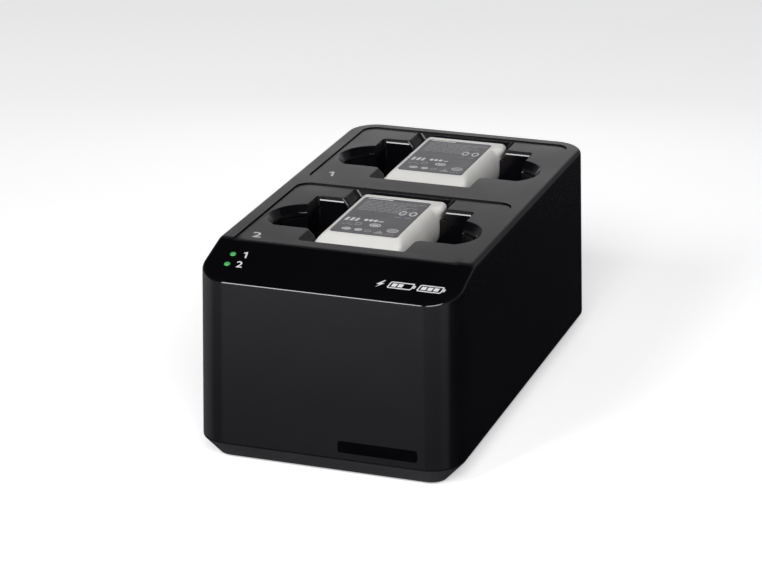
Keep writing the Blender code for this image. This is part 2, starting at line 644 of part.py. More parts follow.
def build_indicators(dock, looks):
    """The two status lights, square to the slope, and the small board behind them."""
    middle = (LIGHT_Y[1] + LIGHT_Y[2]) / 2
    frame = empty("indicator_frame", (LIGHT_X, middle, slope_z(middle)), dock, SLOPE_ANGLE)
    pitch = (LIGHT_Y[1] - LIGHT_Y[2]) / math.cos(SLOPE_ANGLE)
    board = block(-6.0 * MM, 16.0 * MM, -7.0 * MM, 7.5 * MM,
                  -LIGHT_BOARD_DEPTH, 1.2 * MM - LIGHT_BOARD_DEPTH)
    add("indicator_board", board, looks["board_green"], frame, smooth=False)
    for number, y in ((1, pitch / 2), (2, -pitch / 2)):
        led = block(-1.4 * MM, 1.4 * MM, -1.4 * MM, 1.4 * MM, -6.9 * MM, -5.6 * MM)
        add(f"indicator_led_{number}", led, looks["light_green"], frame, (0, y, 0), smooth=False)
        profile = [(2.1 * MM, -5.3 * MM), (2.1 * MM, -3.2 * MM), (LIGHT_R, -2.7 * MM), (LIGHT_R, 0.0)]
        for angle in (30, 60, 80):
            turn = math.radians(angle)
            profile.append((LIGHT_R * math.cos(turn), LIGHT_DOME * math.sin(turn)))
        lens = stack([at_height(circle(0, 0, r, 16), z) for r, z in profile])
        add(f"indicator_lens_{number}", lens, looks["light_green"], frame, (0, y, 0))


def build_ribbon(dock, looks):
    """The flat cable from the indicator board down to the main board."""
    middle = (LIGHT_Y[1] + LIGHT_Y[2]) / 2
    start_z = slope_z(middle) - LIGHT_BOARD_DEPTH - 3.1 * MM
    end_z = BOARD_TOP_Z + GAP
    path = [(-66.5 * MM, start_z), (-66.0 * MM, 40 * MM), (-63.5 * MM, 14 * MM), (-60.5 * MM, end_z)]
    half_thickness = 0.3 * MM
    outline = [(y - half_thickness, z) for y, z in path]
    outline += [(y + half_thickness, z) for y, z in reversed(path)]
    rings = []
    for x in (-21.8 * MM, -26.2 * MM):
        rings.append([(x, y, z) for y, z in outline])
    add("indicator_ribbon", stack(rings), looks["ribbon_grey"], dock, smooth=False)


def main():
    for piece in list(bpy.data.objects):
        bpy.data.objects.remove(piece, do_unlink=True)
    looks = finishes()
    dock = empty("dock", (0, 0, FOOT_PROUD))
    build_housing(dock, looks)
    build_base(dock, looks)
    build_screws(dock, looks)
    for number in BAY_Y:
        build_bay(number, dock, looks)
        build_pack(number, dock, looks)
    build_electronics(dock, looks)
    build_indicators(dock, looks)
    build_ribbon(dock, looks)
    bpy.context.view_layer.update()


main()
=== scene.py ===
"""Looks of a two-bay desktop charging dock, with a battery pack in each bay.

Everything is in metres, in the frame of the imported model: +Z up, +Y to the rear, +X to the right seen
from the front. The main forms are remade here with round edges and fine arcs; the rest of the CAD
pieces stay and get their finish.
"""

import math

import bmesh
import bpy
from mathutils import Matrix, Vector


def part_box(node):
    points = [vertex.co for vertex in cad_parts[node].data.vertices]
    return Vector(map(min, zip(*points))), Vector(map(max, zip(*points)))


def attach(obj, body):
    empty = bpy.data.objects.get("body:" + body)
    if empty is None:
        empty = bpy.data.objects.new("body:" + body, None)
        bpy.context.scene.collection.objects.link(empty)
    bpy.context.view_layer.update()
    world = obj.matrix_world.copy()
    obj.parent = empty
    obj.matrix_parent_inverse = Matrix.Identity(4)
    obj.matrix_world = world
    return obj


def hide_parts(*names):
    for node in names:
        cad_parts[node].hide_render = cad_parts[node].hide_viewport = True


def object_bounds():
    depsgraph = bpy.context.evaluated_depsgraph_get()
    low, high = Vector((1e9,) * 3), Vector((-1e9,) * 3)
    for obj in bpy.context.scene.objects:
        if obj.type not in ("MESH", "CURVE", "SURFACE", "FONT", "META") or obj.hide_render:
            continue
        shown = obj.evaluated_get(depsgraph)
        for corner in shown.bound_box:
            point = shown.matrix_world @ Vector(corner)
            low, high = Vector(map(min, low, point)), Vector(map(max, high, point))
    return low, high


MM = 0.001

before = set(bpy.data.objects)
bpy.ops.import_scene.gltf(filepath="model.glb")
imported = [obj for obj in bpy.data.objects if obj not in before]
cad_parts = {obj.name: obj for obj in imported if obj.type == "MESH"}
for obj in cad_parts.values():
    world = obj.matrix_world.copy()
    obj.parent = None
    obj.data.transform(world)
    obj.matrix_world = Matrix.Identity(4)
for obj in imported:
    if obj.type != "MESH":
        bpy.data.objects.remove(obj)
CAD_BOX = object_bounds()

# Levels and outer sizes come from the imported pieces
SHELL_LOW, SHELL_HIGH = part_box("housing_shell")
FLOOR_Z = CAD_BOX[0].z
DECK_Z = SHELL_HIGH.z
BODY_BOTTOM_Z = SHELL_LOW.z
BASE_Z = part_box("base_cover")[0].z
PANEL_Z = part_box("bay_bezel_1")[1].z
BEZEL_BOTTOM_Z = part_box("bay_bezel_1")[0].z
TUB_BOTTOM_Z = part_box("bay_tub_1")[0].z
PACK_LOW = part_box("battery_1_tray")[0]
PACK_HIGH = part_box("battery_1_cover")[1]

# Housing
CORNER_R = 11.5 * MM
CORNER_STEPS = 10
SIDE_DRAFT = 0.9 * MM
FRONT_DRAFT = 2.5 * MM
REAR_DRAFT = 2.0 * MM
WALL = 2.2 * MM
ROOF = 2.0 * MM
GAP = 0.3 * MM
EDGE_R = 1.9 * MM
FRONT_EDGE_R = 0.85 * MM
FOLD_R = 7.0 * MM
SLOPE_TOP_Y = -58.0 * MM
SLOPE_ANGLE = math.radians(17.0)

# Bays: the circle at each end of a pocket is centred on the bay's own y = 0
BAY_Y = {1: 42.5 * MM, 2: -29.0 * MM}
PANEL_X = 41.0 * MM
PANEL_R = 5.5 * MM
PANEL_Y = {1: (10.5 * MM, 77.0 * MM), 2: (-57.2 * MM, 5.9 * MM)}
FLANGE_SIDE = 2.3 * MM
FLANGE_REACH = {1: (2.2 * MM, 1.6 * MM), 2: (0.5 * MM, 2.1 * MM)}
CLOSED_JOINT = 0.02 * MM
PANEL_GAP = 0.14 * MM
CIRCLE_X = 25.6 * MM
CIRCLE_R = 13.55 * MM
POCKET_FRONT = -11.2 * MM
POST_X = 29.8 * MM
POST_Y = 22.8 * MM
SLOT_X = 19.45 * MM
SLOT_FRONT = -23.4 * MM
SLOT_REAR = 33.6 * MM
LEAD_IN = 2.1 * MM
POST_LEAD_IN = 0.5 * MM
LEAD_IN_DEPTH = 2.4 * MM
TUB_LIP = 0.4 * MM
TUB_WALL = 1.6 * MM
TUB_FLANGE = 1.5 * MM
SHELF_Z = BASE_Z + 57.0 * MM
LUG_DROP = 1.0 * MM
LUG_FACET = 0.38 * MM

# Battery pack, about the bay's own y = 0
PACK_HALF_WIDTH = 16.7 * MM
PACK_FLAT = 12.6 * MM
PACK_FRONT = -22.1 * MM
PACK_REAR = 30.6 * MM
PACK_KEY_Y = (20.5 * MM, 26.4 * MM)
PACK_BEVEL_Y = -11.0 * MM
PACK_BEVEL_ANGLE = math.radians(18.8)
PACK_KEY_X = PACK_HIGH.x + 0.25 * MM
PACK_KEY_CROWN = 1.9 * MM
PACK_KEY_FADE = 3.0 * MM
PACK_WALL = 1.4 * MM
PACK_FRONT_ROUND = 3.2 * MM
PACK_REAR_ROUND = 1.9 * MM
LABEL_X = 12.35 * MM
LABEL_Y = (-11.0 * MM, 26.5 * MM)
LABEL_GAP = 0.25 * MM

# Lights on the slope
LIGHT_X = -37.4 * MM
LIGHT_Y = {1: -67.1 * MM, 2: -72.5 * MM}
LIGHT_R = 1.15 * MM
LIGHT_DOME = 0.7 * MM

# Holes for the contacts under a pack and under a transmitter, about the bay's own y = 0
PACK_PIN_X = (-5.5 * MM, 0.0, 5.5 * MM)
PACK_PIN_Y = -17.6 * MM
PIN_BORE_R = 1.3 * MM
RADIO_WINDOW_X = 7.3 * MM
RADIO_WINDOW_Y = 3.3 * MM

# Power inlet on the rear face
JACK_X = 22.0 * MM
JACK_Z = BASE_Z + 15.6 * MM
JACK_HOLE_R = 4.3 * MM

# Polished bar on the front face
BAR_X = 20.2 * MM
BAR_Z = BASE_Z + 9.1 * MM
BAR_HALF_WIDTH = 14.3 * MM
BAR_HEIGHT = 4.2 * MM
BAR_PROUD = 0.12 * MM

# Print; a figure of the built-in font is 0.7 of the font's size
PRINT_THICKNESS = 0.03 * MM
FIGURE_SHARE = 0.7
DECK_FIGURE = 4.9 * MM
DECK_FIGURE_PLACE = {1: (-33.6 * MM, 18.6 * MM), 2: (-34.1 * MM, -52.2 * MM)}
LIGHT_FIGURE = 3.3 * MM
SIGNS_PLACE = (16.4 * MM, -75.2 * MM)

# Points nearer than this are one point after a boolean
WELD = 0.002 * MM

# Camera
CAMERA_PLACE = (303.724 * MM, -859.081 * MM, 385.09 * MM)
CAMERA_AZIMUTH = math.radians(19.95)
CAMERA_PITCH = math.radians(20.664)
CAMERA_ROLL = math.radians(-0.68)
CAMERA_LENS = 126.62


# ---------------------------------------------------------------- node materials

def srgb(code, alpha=1.0):
    """A hex sRGB colour as the linear colour that shaders take."""
    values = []
    for i in (1, 3, 5):
        value = int(code[i:i + 2], 16) / 255
        values.append(value / 12.92 if value <= 0.04045 else ((value + 0.055) / 1.055) ** 2.4)
    return (*values, alpha)


def put(tree, kind, settings=None, **inputs):
    """Adds a node, gives it its settings, and sets or links its inputs by name (i0, i1 by number)."""
    made = tree.nodes.new(kind)
    for name, value in (settings or {}).items():
        setattr(made, name, value)
    for name, value in inputs.items():
        key = int(name[1:]) if name[0] == "i" and name[1:].isdigit() else name.replace("_", " ")
        socket = made.inputs[key]
        if isinstance(value, bpy.types.NodeSocket):
            tree.links.new(value, socket)
        else:
            socket.default_value = value
    return made


def new_material(name):
    """An empty node tree, and the piece's own position in metres."""
    material = bpy.data.materials.new(name)
    material.use_nodes = True
    tree = material.node_tree
    tree.nodes.clear()
    place = put(tree, "ShaderNodeTexCoord").outputs["Object"]
    return material, tree, place


def close(material, tree, shader):
    put(tree, "ShaderNodeOutputMaterial", Surface=shader.outputs["BSDF"])
    return material


def ramp(tree, factor, *stops):
    """A colour ramp through (position, hex colour) stops."""
    made = put(tree, "ShaderNodeValToRGB", Fac=factor)
    elements = made.color_ramp.elements
    while len(elements) < len(stops):
        elements.new(0.5)
    for element, (position, code) in zip(elements, stops):
        element.position = position
        element.color = srgb(code)
    return made.outputs["Color"]


def noise(tree, place, size, detail=2.0, roughness=0.5):
    """Noise whose lumps are about as large as size, in metres."""
    made = put(tree, "ShaderNodeTexNoise", Vector=place, Scale=1.0 / size, Detail=detail, Roughness=roughness)
    return made.outputs["Fac"]


def spread(tree, factor, low, high, from_low=0.3, from_high=0.7):
    """Maps a value from one range to another, clamped at both ends."""
    made = put(tree, "ShaderNodeMapRange", Value=factor, From_Min=from_low, From_Max=from_high,
               To_Min=low, To_Max=high)
    return made.outputs["Result"]


def bump(tree, height, depth, strength=1.0):
    """A bump whose full height is depth, in metres."""
    return put(tree, "ShaderNodeBump", Strength=strength, Distance=depth, Height=height).outputs["Normal"]


def gloss_abs():
    """Polished-mould black ABS: a mirror skin with the faint waviness of a moulding and handling haze."""
    material, tree, place = new_material("gloss_moulded_abs")
    haze = noise(tree, place, 38 * MM, 4.0)
    waves = noise(tree, place, 16 * MM, 1.0)
    shader = put(tree, "ShaderNodeBsdfPrincipled", IOR=1.52,
                 Base_Color=ramp(tree, haze, (0.3, "#08070A"), (0.7, "#0A090C")),
                 Roughness=spread(tree, haze, 0.07, 0.12), Normal=bump(tree, waves, 0.02 * MM))
    return close(material, tree, shader)


def textured_abs():
    """Spark-textured black ABS of the deck: fine even grain that spreads the light.

    The grain of a real one is 0.1 mm; here it is 0.45 mm so that it shows.
    """
    material, tree, place = new_material("spark_textured_abs")
    grain = noise(tree, place, 0.45 * MM, 2.0, 0.6)
    patches = noise(tree, place, 22 * MM, 3.0)
    shader = put(tree, "ShaderNodeBsdfPrincipled", IOR=1.52,
                 Base_Color=ramp(tree, patches, (0.3, "#131214"), (0.7, "#171618")),
                 Roughness=spread(tree, patches, 0.30, 0.36), Normal=bump(tree, grain, 0.02 * MM))
    return close(material, tree, shader)


def badge_gloss():
    """High-gloss black lacquer of the front bar: smoother and darker than the moulding round it."""
    material, tree, place = new_material("gloss_black_lacquer")
    flow = noise(tree, place, 5 * MM, 1.0)
    shader = put(tree, "ShaderNodeBsdfPrincipled", IOR=1.12,
                 Base_Color=ramp(tree, flow, (0.3, "#020203"), (0.7, "#040405")),
                 Roughness=spread(tree, flow, 0.03, 0.06), Normal=bump(tree, flow, 0.004 * MM))
    return close(material, tree, shader)


def base_abs():
    """Textured dark-grey ABS of the base tray, a little lighter and flatter than the deck."""
    material, tree, place = new_material("base_textured_abs")
    grain = noise(tree, place, 0.6 * MM, 2.0, 0.6)
    patches = noise(tree, place, 30 * MM, 3.0)
    shader = put(tree, "ShaderNodeBsdfPrincipled", IOR=1.52,
                 Base_Color=ramp(tree, patches, (0.3, "#252527"), (0.7, "#2B2B2E")),
                 Roughness=spread(tree, patches, 0.45, 0.55), Normal=bump(tree, grain, 0.05 * MM))
    return close(material, tree, shader)


def white_polycarbonate():
    """Moulded off-white polycarbonate of the packs: satin, faintly mottled, a little light gets in."""
    material, tree, place = new_material("satin_white_polycarbonate")
    mottle = noise(tree, place, 9 * MM, 4.0)
    grain = noise(tree, place, 0.5 * MM, 2.0)
    shader = put(tree, "ShaderNodeBsdfPrincipled", IOR=1.58,
                 Base_Color=ramp(tree, mottle, (0.3, "#E6E5E1"), (0.7, "#ECEBE8")),
                 Roughness=spread(tree, mottle, 0.32, 0.40), Normal=bump(tree, grain, 0.012 * MM),
                 Subsurface_Weight=0.08, Subsurface_Scale=1.2 * MM)
    return close(material, tree, shader)


def label_film():
    """Grey polyester label film with a matt overlaminate: fine speckle and soft sheen."""
    material, tree, place = new_material("matt_label_film")
    speckle = noise(tree, place, 0.35 * MM, 3.0)
    cloud = noise(tree, place, 12 * MM, 2.0)
    shader = put(tree, "ShaderNodeBsdfPrincipled", IOR=1.6,
                 Base_Color=ramp(tree, speckle, (0.3, "#5A5A5D"), (0.7, "#656467")),
                 Roughness=spread(tree, cloud, 0.38, 0.48), Normal=bump(tree, speckle, 0.006 * MM))
    return close(material, tree, shader)


def print_ink(name, low, high):
    """Screen-printed ink: flat, slightly uneven in cover."""
    material, tree, place = new_material(name)
    cover = noise(tree, place, 0.8 * MM, 3.0)
    shader = put(tree, "ShaderNodeBsdfPrincipled", IOR=1.5, Roughness=0.5,
                 Base_Color=ramp(tree, cover, (0.3, low), (0.7, high)))
    return close(material, tree, shader)


def gold_plate():
    """Gold plating on turned brass: fine rings from the lathe."""
    material, tree, place = new_material("gold_plated_brass")
    rings = put(tree, "ShaderNodeTexWave", {"bands_direction": "Z"}, Vector=place,
                Scale=1.0 / (0.25 * MM) / 20, Distortion=0.4).outputs["Fac"]
    shader = put(tree, "ShaderNodeBsdfPrincipled", Metallic=1.0,
                 Base_Color=ramp(tree, rings, (0.2, "#D8B068"), (0.8, "#E8C682")),
                 Roughness=spread(tree, rings, 0.22, 0.32, 0.0, 1.0), Normal=bump(tree, rings, 0.01 * MM))
    return close(material, tree, shader)


def zinc_steel():
    """Bright zinc on a pressed steel screw: clear, with a slightly mottled skin."""
    material, tree, place = new_material("zinc_plated_steel")
    mottle = noise(tree, place, 1.2 * MM, 4.0)
    shader = put(tree, "ShaderNodeBsdfPrincipled", Metallic=1.0,
                 Base_Color=ramp(tree, mottle, (0.3, "#A9ABAD"), (0.7, "#C4C6C8")),
                 Roughness=spread(tree, mottle, 0.28, 0.42))
    return close(material, tree, shader)


def foot_rubber():
    """Moulded black rubber: dull, with a chalky bloom in patches."""
    material, tree, place = new_material("moulded_rubber")
    bloom = noise(tree, place, 2.5 * MM, 4.0)
    grain = noise(tree, place, 0.4 * MM, 2.0)
    shader = put(tree, "ShaderNodeBsdfPrincipled", IOR=1.52,
                 Base_Color=ramp(tree, bloom, (0.35, "#161616"), (0.75, "#242424")),
                 Roughness=spread(tree, bloom, 0.72, 0.88), Normal=bump(tree, grain, 0.04 * MM))
    return close(material, tree, shader)


def solder_mask():
    """Green solder mask over copper: tracks show through as lighter runs 1.2 mm apart."""
    material, tree, place = new_material("green_solder_mask")
    tracks = put(tree, "ShaderNodeTexBrick", Vector=place, Scale=1.0, Mortar_Size=0.25 * MM,
                 Brick_Width=9 * MM, Row_Height=1.2 * MM, Mortar_Smooth=0.2).outputs["Fac"]
    shader = put(tree, "ShaderNodeBsdfPrincipled", IOR=1.5,
                 Base_Color=ramp(tree, tracks, (0.0, "#0E4A26"), (1.0, "#1B6B3A")),
                 Roughness=spread(tree, tracks, 0.34, 0.24, 0.0, 1.0), Normal=bump(tree, tracks, 0.03 * MM))
    return close(material, tree, shader)


def epoxy_black():
    """Moulded epoxy and nylon of the components: matt black with a fine sandy skin."""
    material, tree, place = new_material("moulded_epoxy")
    sand = noise(tree, place, 0.3 * MM, 3.0)
    shader = put(tree, "ShaderNodeBsdfPrincipled", IOR=1.55,
                 Base_Color=ramp(tree, sand, (0.3, "#151517"), (0.7, "#1D1D1F")),
                 Roughness=spread(tree, sand, 0.5, 0.62), Normal=bump(tree, sand, 0.02 * MM))
    return close(material, tree, shader)


def heat_shrink():
    """Blue PVC heat-shrink sleeve round a cell: glossy, drawn tight, with long soft wrinkles."""
    material, tree, place = new_material("blue_heat_shrink")
    pulled = put(tree, "ShaderNodeMapping", Vector=place, Scale=(1.0, 0.15, 1.0)).outputs["Vector"]
    wrinkles = noise(tree, pulled, 1.6 * MM, 3.0)
    shader = put(tree, "ShaderNodeBsdfPrincipled", IOR=1.54,
                 Base_Color=ramp(tree, wrinkles, (0.3, "#17407E"), (0.7, "#1D4C93")),
                 Roughness=spread(tree, wrinkles, 0.22, 0.34), Normal=bump(tree, wrinkles, 0.08 * MM))
    return close(material, tree, shader)


def lit_lens():
    """Clear green light pipe with the light on: bright at the middle of its face, darker at the rim."""
    material, tree, place = new_material("lit_green_light_pipe")
    glow = noise(tree, place, 0.7 * MM, 2.0)
    shader = put(tree, "ShaderNodeBsdfPrincipled", IOR=1.49, Roughness=0.18,
                 Base_Color=ramp(tree, glow, (0.3, "#2C6E3A"), (0.7, "#3A8549")),
                 Emission_Color=ramp(tree, glow, (0.3, "#3F9A54"), (0.7, "#58B66C")),
                 Emission_Strength=0.5)
    return close(material, tree, shader)


def dark_lens_rim():
    """The same green plastic away from the light behind it: deep and nearly black."""
    material, tree, place = new_material("unlit_green_rim")
    depth = noise(tree, place, 0.7 * MM, 2.0)
    shader = put(tree, "ShaderNodeBsdfPrincipled", IOR=1.49, Roughness=0.2,
                 Base_Color=ramp(tree, depth, (0.3, "#04210B"), (0.7, "#062C10")))
    return close(material, tree, shader)


def ribbon_jacket():
    """Grey PVC ribbon cable: the wires inside stand out as ridges 1 mm apart."""
    material, tree, place = new_material("grey_ribbon_pvc")
    ridges = put(tree, "ShaderNodeTexWave", {"bands_direction": "X"}, Vector=place,
                 Scale=1.0 / (1.0 * MM) / 20).outputs["Fac"]
    shader = put(tree, "ShaderNodeBsdfPrincipled", IOR=1.54,
                 Base_Color=ramp(tree, ridges, (0.1, "#8A8A8E"), (0.9, "#A2A2A6")),
                 Roughness=spread(tree, ridges, 0.5, 0.4, 0.0, 1.0), Normal=bump(tree, ridges, 0.2 * MM))
    return close(material, tree, shader)


def floor_paper():
    """White seamless paper, lit so that it stays pale right up to the dock."""
    material, tree, place = new_material("white_seamless_paper")
    fibre = noise(tree, place, 4 * MM, 3.0)
    shader = put(tree, "ShaderNodeBsdfPrincipled", Roughness=0.9, Emission_Strength=0.45,
                 Base_Color=ramp(tree, fibre, (0.3, "#F4F4F4"), (0.7, "#F8F8F8")),
                 Emission_Color=srgb("#FFFFFF"))
    return close(material, tree, shader)


# ---------------------------------------------------------------- outlines

def arc(x, y, radius, start_deg, end_deg, steps):
    """Points on a circle from one angle to another, both ends included."""
    points = []
    for i in range(steps + 1):
        angle = math.radians(start_deg + (end_deg - start_deg) * i / steps)
        points.append((x + radius * math.cos(angle), y + radius * math.sin(angle)))
    return points


def circle(x, y, radius, steps=32):
    return arc(x, y, radius, 0.0, 360.0, steps)[:-1]


def rounded_box(half_x, y_front, y_rear, radius, steps=10):
    """A rectangle with round corners, anticlockwise from its front right corner."""
    inner_x = half_x - radius
    front = y_front + radius
    rear = y_rear - radius
    return (arc(inner_x, front, radius, -90, 0, steps) + arc(inner_x, rear, radius, 0, 90, steps)
            + arc(-inner_x, rear, radius, 90, 180, steps) + arc(-inner_x, front, radius, 180, 270, steps))


def filleted(corners, steps=6):
    """Rounds each (x, y, radius) corner of a closed outline; radius 0 keeps the point."""
    points = []
    count = len(corners)
    for i, (x, y, radius) in enumerate(corners):
        if radius == 0:
            points.append((x, y))
            continue
        corner = Vector((x, y))
        to_last = (Vector(corners[i - 1][:2]) - corner).normalized()
        to_next = (Vector(corners[(i + 1) % count][:2]) - corner).normalized()
        half = to_last.angle(to_next) / 2
        centre = corner + (to_last + to_next).normalized() * radius / math.sin(half)
        first = corner + to_last * radius / math.tan(half) - centre
        last = corner + to_next * radius / math.tan(half) - centre
        start = math.atan2(first.y, first.x)
        turn = (math.atan2(last.y, last.x) - start + math.pi) % (2 * math.pi) - math.pi
        for k in range(steps + 1):
            angle = start + turn * k / steps
            points.append((centre.x + radius * math.cos(angle), centre.y + radius * math.sin(angle)))
    return points


def pocket_outline(inset, post_inset, slot=True):
    """The opening of a bay in the bay's own x and y. With slot False it leaves out the slot's two ends."""
    radius = CIRCLE_R - inset
    front = POCKET_FRONT + post_inset
    post_y = POST_Y - post_inset
    post_x = POST_X - post_inset
    slot_x = SLOT_X - inset
    start = math.degrees(math.asin(front / radius))
    end = math.degrees(math.acos((post_x - CIRCLE_X) / radius))
    right = []
    if slot:
        right += [(slot_x, SLOT_FRONT + post_inset, 1.0 * MM), (slot_x, front, 2.0 * MM)]
    right += [(x, y, 0) for x, y in arc(CIRCLE_X, 0, radius, start, end, 24)]
    right += [(post_x, post_y, 1.5 * MM)]
    if slot:
        right += [(slot_x, post_y, 1.0 * MM), (slot_x, SLOT_REAR - post_inset, 1.5 * MM)]
    left = [(-x, y, r) for x, y, r in reversed(right)]
    return filleted(right + left)


def at_height(outline, z, y_shift=0.0):
    return [(x, y + y_shift, z) for x, y in outline]


# ---------------------------------------------------------------- mesh work

def loft(rings):
    """Bridges rings of equal length in turn and caps the first and the last."""
    bm = bmesh.new()
    rows = [[bm.verts.new(point) for point in ring] for ring in rings]
    bridge(bm, rows)
    bm.faces.new(list(reversed(rows[0])))
    bm.faces.new(rows[-1])
    bmesh.ops.recalc_face_normals(bm, faces=bm.faces)
    return bm


def bridge(bm, rows):
    count = len(rows[0])
    for low, high in zip(rows, rows[1:]):
        for i in range(count):
            j = (i + 1) % count
            bm.faces.new((low[i], low[j], high[j], high[i]))


def holed_plate(outer_rings, hole_rings):
    """A plate with one opening: outer rings from below up, hole rings from above down."""
    bm = bmesh.new()
    outer = [[bm.verts.new(point) for point in ring] for ring in outer_rings]
    hole = [[bm.verts.new(point) for point in ring] for ring in hole_rings]
    bridge(bm, outer)
    bridge(bm, hole)
    for outer_row, hole_row in ((outer[-1], hole[0]), (outer[0], hole[-1])):
        edges = []
        for row in (outer_row, hole_row):
            edges += [bm.edges.get((row[i - 1], row[i])) for i in range(len(row))]
        bmesh.ops.triangle_fill(bm, use_beauty=True, use_dissolve=False, edges=edges)
    bmesh.ops.recalc_face_normals(bm, faces=bm.faces)
    return bm


def prism(outline, z_low, z_high, y_shift=0.0):
    return loft([at_height(outline, z, y_shift) for z in (z_low, z_high)])


def block(x0, x1, y0, y1, z0, z1):
    return prism([(x0, y0), (x1, y0), (x1, y1), (x0, y1)], z0, z1)


def moved(bm, matrix):
    bmesh.ops.transform(bm, matrix=matrix, verts=bm.verts)
    return bm


def clipped(bm, point, normal):
    """Removes what lies on the normal's side of a plane and closes the cut."""
    geometry = bm.verts[:] + bm.edges[:] + bm.faces[:]
    cut = bmesh.ops.bisect_plane(bm, geom=geometry, plane_co=point, plane_no=normal, clear_outer=True)
    edges = [item for item in cut["geom_cut"] if isinstance(item, bmesh.types.BMEdge)]
    bmesh.ops.contextual_create(bm, geom=edges)
    bmesh.ops.recalc_face_normals(bm, faces=bm.faces)
    return bm


def temporary(bm):
    mesh = bpy.data.meshes.new("temporary")
    bm.to_mesh(mesh)
    bm.free()
    made = bpy.data.objects.new("temporary", mesh)
    bpy.context.scene.collection.objects.link(made)
    return made


def combined(target, tool, operation):
    """The exact boolean of two closed meshes, as a new mesh."""
    first = temporary(target)
    second = temporary(tool)
    modifier = first.modifiers.new("boolean", "BOOLEAN")
    modifier.operation = operation
    modifier.solver = "EXACT"
    modifier.object = second
    depsgraph = bpy.context.evaluated_depsgraph_get()
    mesh = bpy.data.meshes.new_from_object(first.evaluated_get(depsgraph))
    result = bmesh.new()
    result.from_mesh(mesh)
    for made in (first, second):
        old = made.data
        bpy.data.objects.remove(made)
        bpy.data.meshes.remove(old)
    bpy.data.meshes.remove(mesh)
    return result


def cut(target, tool):
    return combined(target, tool, "DIFFERENCE")


def join(target, tool):
    return combined(target, tool, "UNION")


def round_edges(bm, width, segments, wanted, sharper_than=35.0):
    """Rounds the edges that turn by more than an angle and pass the test on their middle point."""
    limit = math.radians(sharper_than)
    edges = []
    for edge in bm.edges:
        if len(edge.link_faces) == 2 and edge.calc_face_angle(0.0) > limit:
            if wanted((edge.verts[0].co + edge.verts[1].co) / 2):
                edges.append(edge)
    bmesh.ops.bevel(bm, geom=edges, offset=width, offset_type="OFFSET", segments=segments, profile=0.5,
                    affect="EDGES", clamp_overlap=True)
    return bm


def piece(name, bm, materials, body, slot, *nodes):
    """Makes a finished piece: smooth faces, flat ones kept flat, riding on its body."""
    mesh = bpy.data.meshes.new(name)
    bm.to_mesh(mesh)
    bm.free()
    for material in materials:
        mesh.materials.append(material)
    mesh.shade_smooth()
    mesh.set_sharp_from_angle(angle=math.radians(26))
    made = bpy.data.objects.new(name, mesh)
    bpy.context.scene.collection.objects.link(made)
    weigh = made.modifiers.new("flat_faces", "WEIGHTED_NORMAL")
    weigh.keep_sharp = True
    weigh.weight = 100
    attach(made, body)
    if nodes:
        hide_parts(*nodes)
    return made


# ---------------------------------------------------------------- housing

def drafted_outline(z, inset, side_ys, steps=CORNER_STEPS):
    """The housing's outline at height z, with extra points on its long sides at the given y."""
    rise = max(0.0, (z - BODY_BOTTOM_Z) / (DECK_Z - BODY_BOTTOM_Z))
    half_x = SHELL_HIGH.x - SIDE_DRAFT * rise - inset
    front = SHELL_LOW.y + FRONT_DRAFT * rise + inset
    rear = SHELL_HIGH.y - REAR_DRAFT * rise - inset
    radius = CORNER_R - inset
    inner_x = half_x - radius
    right = [(half_x, y) for y in side_ys]
    left = [(-half_x, y) for y in reversed(side_ys)]
    return (arc(inner_x, front + radius, radius, -90, 0, steps) + right
            + arc(inner_x, rear - radius, radius, 0, 90, steps)
            + arc(-inner_x, rear - radius, radius, 90, 180, steps) + left
            + arc(-inner_x, front + radius, radius, 180, 270, steps))


def fold_lines(count=6):
    """y of the lines along which the deck bends over into the slope, front to rear."""
    reach = FOLD_R * math.tan(SLOPE_ANGLE / 2)
    start = SLOPE_TOP_Y - reach * math.cos(SLOPE_ANGLE)
    end = SLOPE_TOP_Y + reach
    return [start + (end - start) * i / count for i in range(count + 1)]


def top_z(y):
    """Height of the housing's top: the deck, the fold's arc, or the slope."""
    reach = FOLD_R * math.tan(SLOPE_ANGLE / 2)
    end = SLOPE_TOP_Y + reach
    if y >= end:
        return DECK_Z
    if y <= SLOPE_TOP_Y - reach * math.cos(SLOPE_ANGLE):
        return DECK_Z + (y - SLOPE_TOP_Y) * math.tan(SLOPE_ANGLE)
    return DECK_Z - FOLD_R + math.sqrt(FOLD_R ** 2 - (end - y) ** 2)


